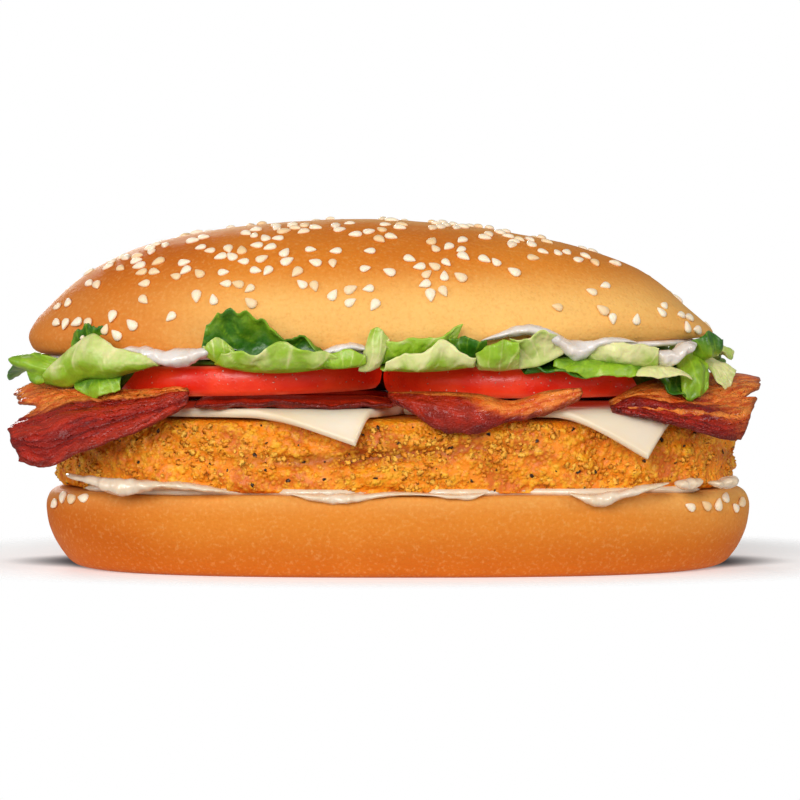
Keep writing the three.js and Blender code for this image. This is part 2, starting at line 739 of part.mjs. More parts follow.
addPiece("bun_heel", heelSolid(), COLOURS.crust, 0.75);
addPiece("sauce_lower", lowerSauceSolid(), COLOURS.sauce, 0.35);
addPiece("chicken_patty", pattySolid(), COLOURS.chicken, 0.8);
for (const [name, slice] of Object.entries(CHEESE_SLICES)) {
  addPiece(name, cheeseSolid(slice), COLOURS.cheese, 0.4);
}
for (const [name, strip] of Object.entries(BACON_STRIPS)) {
  addPiece(name, baconSolid(strip), COLOURS.bacon, 0.35);
}
for (const [name, slice] of Object.entries(TOMATO_SLICES)) {
  addPiece(name, tomatoSolid(slice), COLOURS.tomato, 0.25);
}
const lettuceNeighbours = [
  baconSolid(BACON_STRIPS.bacon_left, GAP),
  baconSolid(BACON_STRIPS.bacon_right, GAP),
  ...Object.values(TOMATO_SLICES).map((slice) => tomatoSolid(slice, GAP)),
  crownSpace(),
];
addPiece("lettuce", lettuceSolid(lettuceNeighbours), COLOURS.lettuce, 0.5);
addPiece("sauce_upper", upperSauceSolid(), COLOURS.sauce, 0.35);
addPiece("bun_crown", crownSolid(), COLOURS.crust, 0.6);

export default sandwich;
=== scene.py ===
# %% [markdown]
# # A long chicken sandwich, dressed for its photograph
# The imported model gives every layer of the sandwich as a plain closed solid. Here each solid is
# replaced by a finer mesh of the same form, with the pores, crumbs, ridges and ruffles of real food.
# We think in millimetres, as a baker would measure, and turn them into metres in one place only.

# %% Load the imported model
import math
from collections import namedtuple

import bpy
import numpy as np
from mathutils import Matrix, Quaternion, Vector, noise


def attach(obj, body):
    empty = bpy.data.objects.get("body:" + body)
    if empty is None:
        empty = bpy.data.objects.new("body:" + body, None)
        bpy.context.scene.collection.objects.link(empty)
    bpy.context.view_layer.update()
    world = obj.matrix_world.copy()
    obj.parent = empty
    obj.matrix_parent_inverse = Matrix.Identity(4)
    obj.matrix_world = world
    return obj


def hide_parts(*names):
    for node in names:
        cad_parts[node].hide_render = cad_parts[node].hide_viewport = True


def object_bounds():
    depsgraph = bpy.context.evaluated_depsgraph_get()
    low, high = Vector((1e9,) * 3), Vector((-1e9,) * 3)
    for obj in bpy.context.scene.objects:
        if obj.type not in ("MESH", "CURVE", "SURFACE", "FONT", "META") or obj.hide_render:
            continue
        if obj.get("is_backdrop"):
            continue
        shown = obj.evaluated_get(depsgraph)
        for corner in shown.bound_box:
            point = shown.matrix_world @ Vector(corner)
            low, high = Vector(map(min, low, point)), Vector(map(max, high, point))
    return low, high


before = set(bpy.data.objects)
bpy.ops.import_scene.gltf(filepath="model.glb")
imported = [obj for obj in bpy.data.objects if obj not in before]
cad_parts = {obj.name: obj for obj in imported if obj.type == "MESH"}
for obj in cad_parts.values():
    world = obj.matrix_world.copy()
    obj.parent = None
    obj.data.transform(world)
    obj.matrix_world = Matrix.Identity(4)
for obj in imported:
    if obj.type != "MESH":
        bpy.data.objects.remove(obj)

MM = 0.001
cad_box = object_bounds()
print("nodes to dress:", len(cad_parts))
print("box in mm:", [[round(v / MM, 1) for v in corner] for corner in cad_box])

# %% [markdown]
# ## The camera
# The photograph was taken from about a metre away, a little above the sandwich. A long lens keeps the
# bun's ends from bulging. `seen` turns a point of the picture, at a chosen depth, back into a place
# on the table, so that a leaf or a dab of sauce can be laid where the picture shows it.

# %% Set up the camera
CAMERA_PLACE = (0.6, -900.0, 86.0)
CAMERA_DIP = math.radians(2.78)
PICTURE = 800
FOCUS = 3510  # pixels: how large a millimetre looks from a millimetre away

camera_data = bpy.data.cameras.new("camera")
camera_data.sensor_width = 36
camera_data.lens = FOCUS * camera_data.sensor_width / PICTURE
camera_data.clip_start = 0.05
camera_data.clip_end = 20
camera = bpy.data.objects.new("camera", camera_data)
camera.location = [v * MM for v in CAMERA_PLACE]
camera.rotation_euler = (math.pi / 2 - CAMERA_DIP, 0, 0)
bpy.context.scene.collection.objects.link(camera)
bpy.context.scene.camera = camera


def seen(px, py, y):
    """The place, in mm, that shows at a pixel of the picture and lies at depth y."""
    across, up = (px - PICTURE / 2) / FOCUS, (PICTURE / 2 - py) / FOCUS
    sine, cosine = math.sin(CAMERA_DIP), math.cos(CAMERA_DIP)
    away = y - CAMERA_PLACE[1]
    rise = away * (up * cosine - sine) / (cosine + up * sine)
    depth = away * cosine - rise * sine
    return np.array([CAMERA_PLACE[0] + across * depth, y, CAMERA_PLACE[2] + rise])


print("lens in mm:", round(camera_data.lens, 1))

# %% [markdown]
# ## Light and table
# Food is lit with large soft lights: one high in front, one on each side, and one behind that draws a
# bright edge along the top of the bun. The table is white. Far from the sandwich it fades away, so
# that only the soft shadows close to the bread are left on a white ground.

# %% Hang the lights
WHITE_ROOM = 1.0  # what the camera sees behind everything
SOFT_ROOM = 0.3  # how brightly the room lights the food

LIGHTS = {
    "light_front": {"place": (-240, -1100, 440), "size": 520, "power": 8.9},
    "light_right": {"place": (900, -640, 380), "size": 360, "power": 3.2},
    "light_left": {"place": (-900, -540, 340), "size": 360, "power": 2.8},
    "light_back": {"place": (-260, 820, 300), "size": 300, "power": 3.2},
}


def hang_light(name, place, size, power, aim=(0, 0, 45)):
    data = bpy.data.lights.new(name, "AREA")
    data.size = size * MM
    data.energy = power
    light = bpy.data.objects.new(name, data)
    light.location = [v * MM for v in place]
    away = Vector(place) - Vector(aim)
    light.rotation_euler = away.to_track_quat("Z", "Y").to_euler()
    bpy.context.scene.collection.objects.link(light)


for name, light in LIGHTS.items():
    hang_light(name, **light)
print("lights:", len(LIGHTS))

# %% [markdown]
# ## Finishes as sums
# A material is a tree of nodes. Writing it as sums is easier to read than wiring it: a `Wire` is one
# output of a node, and `1 - wire` adds the Math node that takes it from one. Every other node comes
# from `node`, which takes the node's type, its settings and what goes into its sockets.

# %% A small language for node trees


class Wire:
    """One output of a node. Sums and products with it add Math nodes to its tree."""

    def __init__(self, tree, socket):
        self.tree = tree
        self.socket = socket

    def maths(self, operation, *values):
        sockets = dict(enumerate(values))
        return self.tree.node("ShaderNodeMath", {"operation": operation}, sockets)

    def __add__(self, other):
        return self.maths("ADD", self, other)

    def __radd__(self, other):
        return self.maths("ADD", other, self)

    def __sub__(self, other):
        return self.maths("SUBTRACT", self, other)

    def __rsub__(self, other):
        return self.maths("SUBTRACT", other, self)

    def __mul__(self, other):
        return self.maths("MULTIPLY", self, other)

    def __rmul__(self, other):
        return self.maths("MULTIPLY", other, self)

    def __pow__(self, other):
        return self.maths("POWER", self, other)

    def rising(self, low, high):
        """0 below low, 1 above high, and smooth between them."""
        span = {"Value": self, "From Min": low, "From Max": high}
        return self.tree.node("ShaderNodeMapRange", {"interpolation_type": "SMOOTHSTEP"}, span)


def pick(sockets, key):
    """A node's socket by its number, or the one in use by its name."""
    if isinstance(key, int):
        return sockets[key]
    return next(s for s in sockets if s.enabled and s.name == key)


class Tree:
    """A tree of nodes, of a material or of Geometry Nodes."""

    def __init__(self, tree):
        self.tree = tree

    def node(self, kind, settings=None, sockets=None, out=0):
        made = self.tree.nodes.new(kind)
        for name, value in (settings or {}).items():
            setattr(made, name, value)
        for key, value in (sockets or {}).items():
            socket = pick(made.inputs, key)
            if isinstance(value, Wire):
                self.tree.links.new(value.socket, socket)
            else:
                socket.default_value = value
        return Wire(self, pick(made.outputs, out)) if made.outputs else None


print("trees can be written as sums")

# %% [markdown]
# ## The words of a finish
# Food is coloured by noise of some size, by cells, by its height over the table, or by a number that
# the mesh carries at each of its points. `Finish` gives each of these a short name and thinks in
# millimetres. All of them read Object coordinates, so a pattern stays where it is on its piece.

# %% Name the parts of a finish


class Finish(Tree):
    """A material. Sizes are in millimetres, and colours are those of a picture, 0 to 255."""

    def __init__(self, name):
        self.material = bpy.data.materials.new(name)
        self.material.use_nodes = True
        super().__init__(self.material.node_tree)
        self.tree.nodes.clear()
        self.place = self.node("ShaderNodeTexCoord", out="Object")

    def grain(self, size, detail=2.0, stretch=(1, 1, 1)):
        """Noise from 0 to 1 whose swells are about size mm, longer where stretch is above 1."""
        narrow = [1 / s for s in stretch]
        place = self.node("ShaderNodeMapping", None, {"Vector": self.place, "Scale": narrow})
        sockets = {"Vector": place, "Scale": 1 / (size * MM), "Detail": detail}
        return self.node("ShaderNodeTexNoise", None, sockets)

    def cells(self, size):
        """Distance from the middle of each of many cells about size mm wide."""
        sockets = {"Vector": self.place, "Scale": 1 / (size * MM)}
        return self.node("ShaderNodeTexVoronoi", None, sockets)

    def tone(self, name):
        """A number that the mesh carries at each of its points."""
        return self.node("ShaderNodeAttribute", {"attribute_name": name}, out="Fac")

    def height(self, axis="Z"):
        """The place along one axis, in millimetres."""
        return self.node("ShaderNodeSeparateXYZ", None, {"Vector": self.place}, axis) * (1 / MM)

    def mix(self, share, first, second, blend="MIX"):
        settings = {"data_type": "RGBA", "blend_type": blend}
        return self.node("ShaderNodeMix", settings, {0: share, 6: first, 7: second}, 2)

    def bump(self, height, depth, normal=None):
        """Relief of depth mm, from a height of 0 to 1."""
        sockets = {"Height": height, "Distance": depth * MM, "Strength": 1.0}
        if normal:
            sockets["Normal"] = normal
        return self.node("ShaderNodeBump", None, sockets)

    def surface(self, **sockets):
        """The finished shader: names of its sockets, with _ for a space, and their values."""
        named = {name.replace("_", " "): value for name, value in sockets.items()}
        shader = self.node("ShaderNodeBsdfPrincipled", None, named)
        self.node("ShaderNodeOutputMaterial", None, {"Surface": shader})
        return self.material


def ink(red, green, blue):
    """A colour of a picture as the linear colour that a shader wants."""
    shares = [v / 255 for v in (red, green, blue)]
    linear = [v / 12.92 if v <= 0.04045 else ((v + 0.055) / 1.055) ** 2.4 for v in shares]
    return (*linear, 1.0)


print("an orange as a shader wants it:", [round(v, 3) for v in ink(226, 139, 44)])

# %% [markdown]
# ## The white ground
# The table shows only near the sandwich, where it catches soft shadows. Further out a Mix Shader fades
# it to nothing, so the ground turns white without an edge. No light comes in right under the bread,
# and a dark oval stands for that. The room is white for the camera and dimmer for the food.

# %% Lay the table and paint the room
TABLE_REACH = 400
TABLE_GLOW = 0.26  # a little light of its own keeps the table white
TABLE_SHOWN = {"length": 135, "depth": 78, "back": 22}  # the oval of table that catches shadows
TABLE_SHADE = {"length": 106, "depth": 35, "back": 10}  # the darkest oval, under the bread
SHOWN_FADE = (0.62, 1.25)  # where each oval starts and stops fading, 1 being its edge
SHADE_FADE = (0.6, 1.0)
TABLE_PAINT = (0.85, 0.85, 0.85, 1)
SHADE_PAINT = (0.1, 0.1, 0.11, 1)


def table_finish():
    finish = Finish("white_table")

    def away(length, depth, back):
        x = finish.height("X") * (1 / length)
        y = (finish.height("Y") - back) * (1 / depth)
        return x * x + y * y

    paint = finish.node("ShaderNodeBsdfDiffuse", None, {"Color": TABLE_PAINT})
    glow = finish.node("ShaderNodeEmission", None, {"Strength": TABLE_GLOW})
    lit = finish.node("ShaderNodeAddShader", None, {0: paint, 1: glow})
    dark = finish.node("ShaderNodeBsdfDiffuse", None, {"Color": SHADE_PAINT})
    share = {0: away(**TABLE_SHADE).rising(*SHADE_FADE), 1: dark, 2: lit}
    shaded = finish.node("ShaderNodeMixShader", None, share)
    nothing = finish.node("ShaderNodeBsdfTransparent")
    share = {0: away(**TABLE_SHOWN).rising(*SHOWN_FADE), 1: shaded, 2: nothing}
    shown = finish.node("ShaderNodeMixShader", None, share)
    finish.node("ShaderNodeOutputMaterial", None, {"Surface": shown})
    return finish.material


def lay_table():
    mesh = bpy.data.meshes.new("table")
    reach = TABLE_REACH * MM
    corners = [(-reach, -reach, 0), (reach, -reach, 0), (reach, reach, 0), (-reach, reach, 0)]
    mesh.from_pydata(corners, [], [(0, 1, 2, 3)])
    table = bpy.data.objects.new("table", mesh)
    mesh.materials.append(table_finish())
    bpy.context.scene.collection.objects.link(table)
    table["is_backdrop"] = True


def paint_room():
    world = bpy.data.worlds.new("room")
    world.use_nodes = True
    room = Tree(world.node_tree)
    room.tree.nodes.clear()
    ray = room.node("ShaderNodeLightPath", out="Is Camera Ray")
    strength = SOFT_ROOM + ray * (WHITE_ROOM - SOFT_ROOM)
    walls = room.node("ShaderNodeBackground", None, {"Color": (1, 1, 1, 1), "Strength": strength})
    room.node("ShaderNodeOutputWorld", None, {"Surface": walls})
    bpy.context.scene.world = world


lay_table()
paint_room()
bpy.context.scene.view_settings.view_transform = "Standard"
bpy.context.scene.view_settings.look = "None"
print("table reaches", TABLE_REACH, "mm from the middle")

# %% [markdown]
# ## Grids
# Almost all of this food is either turned, like bread and patty, or a sheet, like bacon and leaves.
# Both are grids of points: rings for what is turned, rows for a sheet. Keeping them as arrays means
# that one line can push every point out by its own amount of noise.

# %% Draw outlines and smooth lines
Oval = namedtuple("Oval", "half_length half_width squareness x")


def signed_power(value, power):
    return np.sign(value) * np.abs(value) ** power


def smooth(low, high, value):
    share = np.clip((value - low) / (high - low), 0, 1)
    return share * share * (3 - 2 * share)


def outline(oval, angle):
    """Plan points of a bun, an oval with blunt ends."""
    power = 2 / oval.squareness
    x = oval.x + oval.half_length * signed_power(np.cos(angle), power)
    y = oval.half_width * signed_power(np.sin(angle), power)
    return np.stack([x, y], -1)


def outward(oval, angle):
    """The outline's unit normals."""
    along = outline(oval, angle + 0.02) - outline(oval, angle - 0.02)
    out = np.stack([along[..., 1], -along[..., 0]], -1)
    return out / np.linalg.norm(out, axis=-1, keepdims=True)


def smooth_line(points, count):
    """Points at even steps along a smooth line through the given ones."""
    points = np.asarray(points, float)
    padded = np.vstack([2 * points[0] - points[1], points, 2 * points[-1] - points[-2]])
    dense = []
    for a, b, c, d in zip(padded, padded[1:], padded[2:], padded[3:]):
        for t in np.linspace(0, 1, 24, endpoint=False):
            bend = (2 * a - 5 * b + 4 * c - d) * t**2 + (3 * b - a - 3 * c + d) * t**3
            dense.append(0.5 * (2 * b + (c - a) * t + bend))
    dense = np.array(dense + [points[-1]])
    steps = np.linalg.norm(np.diff(dense, axis=0), axis=1)
    run = np.concatenate([[0], np.cumsum(steps)])
    wanted = np.linspace(0, run[-1], count)
    return np.stack([np.interp(wanted, run, column) for column in dense.T], -1)


print("a round line has points:", len(smooth_line([(0, 0), (1, 0), (1, 1)], 50)))

# %% [markdown]
# ## Noise on a grid
# Nothing that is baked, fried or torn is even. `swells` gives smooth noise of a chosen size at every
# point of a grid, and `grid_normals` says which way is out, so the two together push a skin in and out.

# %% Make a grid uneven
RIM_LEFT = 0.12  # how much of a sheet's thickness is left at its very rim


def swells(points, size, seed=0, octaves=3):
    """Noise of about -1 to 1 at each point, with swells about size mm across."""
    shift = Vector((7.3, 3.1, 5.7)) * seed
    flat = points.reshape(-1, 3) / size
    values = [noise.fractal(Vector(p) + shift, 1.0, 2.0, octaves) for p in flat]
    return np.array(values).reshape(points.shape[:-1])


def grid_normals(points, closed=False):
    """Unit normals of a grid of points, rows first."""
    if closed:
        along = np.roll(points, -1, 1) - np.roll(points, 1, 1)
    else:
        along = np.gradient(points, axis=1)
    normals = np.cross(along, np.gradient(points, axis=0))
    return normals / np.maximum(np.linalg.norm(normals, axis=-1, keepdims=True), 1e-9)


def close_rings(points):
    """A ring grid's points, followed by the middle of its first ring and of its last."""
    ends = [points[0].mean(0), points[-1].mean(0)]
    return np.vstack([points.reshape(-1, 3), ends])


def close_tones(values):
    """A number for each point of close_rings."""
    return np.concatenate([values.ravel(), [values[0].mean(), values[-1].mean()]])


def thicken(middle, thickness):
    """The two sides of a sheet whose middle and thickness are given."""
    half = grid_normals(middle) * thickness[..., None] / 2
    return np.vstack([(middle + half).reshape(-1, 3), (middle - half).reshape(-1, 3)])


def rounded_rim(u, v, length, width, radius):
    """A sheet's thickness as a share: 1 inside, and falling like a circle at its rim."""
    edge = np.minimum(np.minimum(u, 1 - u) * length, np.minimum(v, 1 - v) * width)
    share = np.clip(edge / radius, 0, 1)
    return RIM_LEFT + (1 - RIM_LEFT) * np.sqrt(1 - (1 - share) ** 2)


print("a sheet's rim keeps this share of its thickness:", RIM_LEFT)

# %% [markdown]
# ## From a grid to a piece
# Faces join the neighbours of a grid. Rings are closed by one point under the first and one over the
# last, and a sheet gets a second side and a rim, so every piece is watertight. `stand_for` then says
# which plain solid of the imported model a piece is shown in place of.

# %% Turn grids into pieces
def ring_faces(rings, sectors):
    """Faces of stacked rings, closed by a point under the first and one over the last."""
    faces = []
    for i in range(rings - 1):
        for j in range(sectors):
            k = (j + 1) % sectors
            a, b = i * sectors, (i + 1) * sectors
            faces.append((a + j, a + k, b + k, b + j))
    under, over = rings * sectors, rings * sectors + 1
    last = (rings - 1) * sectors
    for j in range(sectors):
        k = (j + 1) % sectors
        faces.append((under, k, j))
        faces.append((over, last + j, last + k))
    return faces


def sheet_faces(rows, columns):
    """Faces of a sheet with two sides and a rim; the lower side's points follow the upper's."""
    lower = rows * columns
    faces = []
    for i in range(rows - 1):
        for j in range(columns - 1):
            a, b = i * columns + j, (i + 1) * columns + j
            faces.append((a, a + 1, b + 1, b))
            faces.append((lower + a, lower + b, lower + b + 1, lower + a + 1))
    rim = [j for j in range(columns - 1)]
    rim += [i * columns + columns - 1 for i in range(rows - 1)]
    rim += [(rows - 1) * columns + j for j in range(columns - 1, 0, -1)]
    rim += [i * columns for i in range(rows - 1, 0, -1)]
    for a, b in zip(rim, rim[1:] + rim[:1]):
        faces.append((b, a, lower + a, lower + b))
    return faces


def make_piece(name, points, faces, finish, tones=None):
    """An object from points in mm. tones gives a number at each point under a name."""
    mesh = bpy.data.meshes.new(name)
    mesh.from_pydata((np.asarray(points) * MM).tolist(), [], faces)
    mesh.shade_smooth()
    for tone, values in (tones or {}).items():
        layer = mesh.attributes.new(tone, "FLOAT", "POINT")
        layer.data.foreach_set("value", np.asarray(values, np.float32).ravel())
    mesh.materials.append(finish)
    piece = bpy.data.objects.new(name, mesh)
    bpy.context.scene.collection.objects.link(piece)
    return piece


def stand_for(piece, slot, *nodes):
    """The piece belongs to the sandwich and replaces CAD nodes. slot is not used."""
    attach(piece, "root")
    if nodes:
        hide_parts(*nodes)
    print(piece.name, len(piece.data.polygons), "faces")


print("faces of a ball of 8 rings:", len(ring_faces(8, 12)))

# %% [markdown]
# ## Crust
# A bun's crust is a thin baked skin: pale where the heat was least, then golden, then brown, with
# freckles and fine pores. One finish serves both halves, and each half says for itself where it is
# brown and where it is pale. The pores are far too many to model, so they are bump.

# %% The crust's finish
CRUST_PALE = ink(246, 196, 112)
CRUST_GOLD = ink(226, 139, 44)
CRUST_BROWN = ink(194, 94, 12)
CRUMB_PALE = ink(246, 202, 130)


def crust_finish(name, brown, pale):
    """brown and pale each get the finish and return shares from 0 to 1."""
    finish = Finish(name)
    patches = finish.grain(18, 3)
    freckles = finish.grain(0.9, 3)
    colour = finish.mix((brown(finish) + patches * 0.4 - 0.2).rising(0, 1), CRUST_GOLD, CRUST_BROWN)
    colour = finish.mix((pale(finish) + patches * 0.3 - 0.15).rising(0, 1), colour, CRUST_PALE)
    colour = finish.mix(freckles.rising(0.5, 0.75) * 0.16, colour, CRUMB_PALE)
    colour = finish.mix((1 - freckles.rising(0.3, 0.5)) * 0.14, colour, CRUST_BROWN)
    pores = finish.cells(1.1).rising(0.0, 0.5)
    skin = finish.bump(finish.grain(0.7, 3, (1.6, 1.6, 1)), 0.1)
    relief = finish.bump(pores, 0.07, skin)
    return finish.surface(
        Base_Color=colour,
        Roughness=0.52 + freckles * 0.16,
        Normal=relief,
        Subsurface_Weight=0.1,
        Subsurface_Radius=(1.0, 0.45, 0.2),
        Subsurface_Scale=1.5 * MM,
        Specular_IOR_Level=0.14,
    )


print("crust goes from pale to brown over", CRUST_GOLD)

# %% [markdown]
# ## The lower half of the bun
# It baked with its sides bulging out over a flat base, so it is browner at the base, where it met the
# tray, and paler at the cut. We turn its profile round the bun's oval and let slow noise make it a
# little uneven.

# %% Turn the lower half
HEEL = Oval(90, 40, 2.5, 0)
HEEL_HEIGHT = 20.4
HEEL_PROFILE = [
    (0.84, 0),
    (0.875, 0),
    (0.925, 1.2),
    (0.963, 5),
    (0.99, 10),
    (1, 14.5),
    (0.998, 17.4),
    (0.985, 19.5),
    (0.955, HEEL_HEIGHT),
    (0.92, HEEL_HEIGHT),
]


def heel_grid(sectors, rings):
    angle = np.linspace(0, 2 * math.pi, sectors, endpoint=False)[None, :]
    side = smooth_line([(share * 60, z) for share, z in HEEL_PROFILE], rings)
    profile = [(0.3, 0), (0.7, 0), *[(r / 60, z) for r, z in side]]
    profile += [(0.7, HEEL_HEIGHT), (0.3, HEEL_HEIGHT)]
    share, height = (np.array(column)[:, None] for column in zip(*profile))
    edge = outline(HEEL, angle)
    z = np.broadcast_to(np.clip(height, 0, HEEL_HEIGHT), (len(profile), sectors))
    return np.stack([edge[..., 0] * share, edge[..., 1] * share, z], -1)


def heel_brown(finish):
    z, x = finish.height(), finish.height("X")
    ends = (-1 * x).rising(40, 92) * 0.5 + x.rising(70, 92) * 0.1
    return (1 - z.rising(2, 16)) * 0.5 + ends + 0.3


def heel_end(finish):
    """The right end's upper part, which the tray's heat reached least."""
    return finish.height("X").rising(40, 80) * finish.height().rising(5, 14)


def heel_pale(finish):
    return finish.height().rising(13, 21) * 0.36 + heel_end(finish) * 0.22


heel_points = heel_grid(360, 56)
uneven = swells(heel_points, 30, seed=1) * 0.35 + swells(heel_points, 4, seed=2) * 0.06
level = heel_points[..., 2]
side_share = smooth(0.3, 2.0, level) * smooth(HEEL_HEIGHT + 0.2, 18.5, level)  # flat below and on top
heel_points = heel_points + grid_normals(heel_points, True) * (uneven * side_share)[..., None]
heel = make_piece(
    "heel_bread",
    close_rings(heel_points),
    ring_faces(*heel_points.shape[:2]),
    crust_finish("heel_crust", heel_brown, heel_pale),
)
stand_for(heel, "crust", "bun_heel")

# %% [markdown]
# ## The upper half of the bun
# The crown rose in the oven, so it is a dome, fuller at its front and leaning to the left, and its
# right end hangs a little. The dome is the same formula as the solid's, only drawn with many more
# rings.

# %% Turn the upper half
CROWN = Oval(87.5, 40, 2.35, -6.8)
CROWN_TUCK = 3.6
CROWN_DOME = 28.7
CROWN_LEAN = 11
LEAN_POWER = 1.6
DOME_HOLLOW = 0.045
DOME_BLUNT = 0.86
DOME_FROM = 0.2  # radians up from the widest ring: below it the rim is rounded
END_DROOP = 5  # the right end's top hangs down this far
DROOP_FROM, DROOP_TO = 60, 82  # along x
DROOP_OVER = 5  # above the cut face it takes this much height to set in
CUT_LEVEL, CUT_SLOPE = 56.4, 0.025


def crown_cut(x):
    """The height of the cut face, which slopes up a little to the right."""
    return CUT_LEVEL + CUT_SLOPE * (x - CROWN.x)


def end_droop(px, height):
    """The droop of the right end: none at the cut face, and growing from there up."""
    return END_DROOP * smooth(DROOP_FROM, DROOP_TO, px) * (1 - np.exp(-height / DROOP_OVER))


def crown_place(x, y, height):
    """Where a point of the plain dome comes to lie once the dome leans and slims."""
    risen = np.clip((height - CROWN_TUCK) / CROWN_DOME, 0, 1)
    level = np.maximum(np.sqrt(1 - risen * risen), 1e-6)
    hollow = DOME_HOLLOW * np.sin(math.pi * risen) * smooth(0, 0.3, risen)
    slim = (level - hollow) / level**DOME_BLUNT
    px = CROWN.x + (x - CROWN.x) * slim - CROWN_LEAN * risen**LEAN_POWER
    return np.stack([px, y, crown_cut(px) + height - end_droop(px, height)], -1)


def crown_grid(sectors, rings):
    angle = np.linspace(0, 2 * math.pi, sectors, endpoint=False)[None, :]
    dome = [
        (math.cos(rise) ** DOME_BLUNT, CROWN_TUCK + CROWN_DOME * math.sin(rise))
        for rise in np.linspace(DOME_FROM, math.pi / 2, rings, endpoint=False)
    ]
    rim = [(0.9, 0), (0.95, 0), (0.982, 1.0), (0.9965, 2.9), (0.9995, 5.0), dome[0]]
    rim = smooth_line([(share * 60, z) for share, z in rim], 20)[:-1]
    profile = [(0.3, 0), (0.7, 0), *[(r / 60, max(z, 0)) for r, z in rim], *dome]
    share, height = (np.array(column)[:, None] for column in zip(*profile))
    edge = outline(CROWN, angle)
    x = CROWN.x + (edge[..., 0] - CROWN.x) * share
    return crown_place(x, edge[..., 1] * share, np.broadcast_to(height, x.shape))


print("the dome rises in mm:", CROWN_TUCK + CROWN_DOME)

# %% [markdown]
# ## The crown's browning
# Its shoulders are the darkest, and a pale belt runs low along the front. A pale stripe along the ridge is
# a painted highlight, the bright edge that light from behind draws on the top: that stripe is a number at
# each point, since it follows the surface and no height or length describes it.

# %% Colour and swell the upper half
def crown_brown(finish):
    z, x = finish.height(), finish.height("X")
    top = z.rising(66, 84) * (0.38 - 0.26 * x.rising(10, 40))
    ends = (-1 * x).rising(30, 85) * 0.5 + x.rising(30, 50) * 0.08
    return top + ends + 0.16


def crown_pale_and_highlight(finish):
    z, x = finish.height(), finish.height("X")
    middle = (x + 70).rising(0, 42) * (1 - x.rising(25, 75))
    right = 0.16 * x.rising(-20, 15) + 0.2 * x.rising(20, 72)
    belt = (1 - z.rising(66, 81)) * (0.2 + 0.42 * middle + right)
    # The ridge stripe is a painted highlight: the bright edge along the top, painted into the crust.
    return belt + 0.42 * finish.tone("ridge")


crown_points = crown_grid(420, 84)
uneven = swells(crown_points, 32, seed=3) * 0.5 + swells(crown_points, 5, seed=4) * 0.07
on_dome = smooth(58, 64, crown_points[..., 2])
crown_points = crown_points + grid_normals(crown_points, True) * (uneven * on_dome)[..., None]
along, facing, level = crown_points[..., 0], grid_normals(crown_points, True)[..., 1], crown_points[..., 2]
# Where the painted highlight lies: along the crest of the dome, fading out towards the right end.
ridge = on_dome * smooth(-0.4, -0.08, facing) * smooth(0.6, 0.0, facing)
ridge = ridge * smooth(70, 20, along) * smooth(62, 80, level)
crown = make_piece(
    "crown_bread",
    close_rings(crown_points),
    ring_faces(*crown_points.shape[:2]),
    crust_finish("crown_crust", crown_brown, crown_pale_and_highlight),
    {"ridge": close_tones(ridge)},
)
stand_for(crown, "crust", "bun_crown")

# %% [markdown]
# ## Sesame seeds
# Seeds are thrown on the dough while it is wet, so they lie flat, turned every way, many in small
# groups. A direction out of the dome's middle gives each seed its point and its upright. They are
# drawn by the same rule as in the CAD model, so the first ones fall on the same spots.

# %% Find points and uprights on the dome
def seeded_random(seed):
    """Numbers from 0 to 1, the same on every run."""
    state = seed
    while True:
        state = (state * 1664525 + 1013904223) % 2**32
        yield state / 2**32


def dome_point(direction):
    edge = outline(CROWN, math.atan2(direction[1], direction[0]))
    risen = min(max(direction[2], 0), 1)
    share = math.sqrt(1 - risen * risen) ** DOME_BLUNT
    x = CROWN.x + (edge[0] - CROWN.x) * share
    return crown_place(x, edge[1] * share, CROWN_TUCK + CROWN_DOME * risen)


def dome_normal(direction):
    side = np.array([-direction[1], direction[0], 0])
    side *= 0.02 / np.linalg.norm(side)
    up = np.cross(direction, side)

    def step(shift):
        ahead = (direction + shift) / np.linalg.norm(direction + shift)
        behind = (direction - shift) / np.linalg.norm(direction - shift)
        return dome_point(ahead) - dome_point(behind)

    normal = np.cross(step(side), step(up))
    return normal / np.linalg.norm(normal)


print("a point near the top, in mm:", np.round(dome_point(np.array([0.1, 0.1, 0.99])), 1))

# %% Draw the places of the seeds
CROWN_SEEDS = 345
SOLID_SEEDS = 105  # the CAD model has this many of them
SEEDS_LOW_MIDDLE = 0.25  # the lowest seeds, as shares of the dome's height
SEEDS_LOW_END = 0.03
SEED_REACH = np.array([CROWN.half_length, CROWN.half_width, CROWN_DOME])
SEED_COMPANY = 0.38  # how often a seed lands beside the last one
SEED_STEP = 3.6  # mm from it
SEED_APART = 2.8  # mm: no two are closer
BARE_RIDGE = (-0.28, 0.1)  # shares of the width between which few seeds lie


def lowest_seed(direction):
    """Seeds come down further at the dome's ends than in its middle."""
    return SEEDS_LOW_MIDDLE + (SEEDS_LOW_END - SEEDS_LOW_MIDDLE) * smooth(0.3, 0.75, abs(direction[0]))


def drawn_direction(random, last):
    """A direction, beside the last seed's or anywhere, or None, and the number it was drawn with."""
    turn, height = 2 * math.pi * next(random), next(random)
    draw, chance = next(random), next(random)
    flat = math.sqrt(1 - height * height)
    direction = np.array([flat * math.cos(turn), flat * math.sin(turn), height])
    if last is not None and chance < SEED_COMPANY:
        step = np.array([math.cos(turn), math.sin(turn), draw - 0.5]) / SEED_REACH
        direction = last + step * SEED_STEP
        return direction / np.linalg.norm(direction), draw
    area = np.linalg.norm(direction * np.prod(SEED_REACH) / SEED_REACH) / np.prod(SEED_REACH[:2])
    return (direction if draw <= area else None), draw


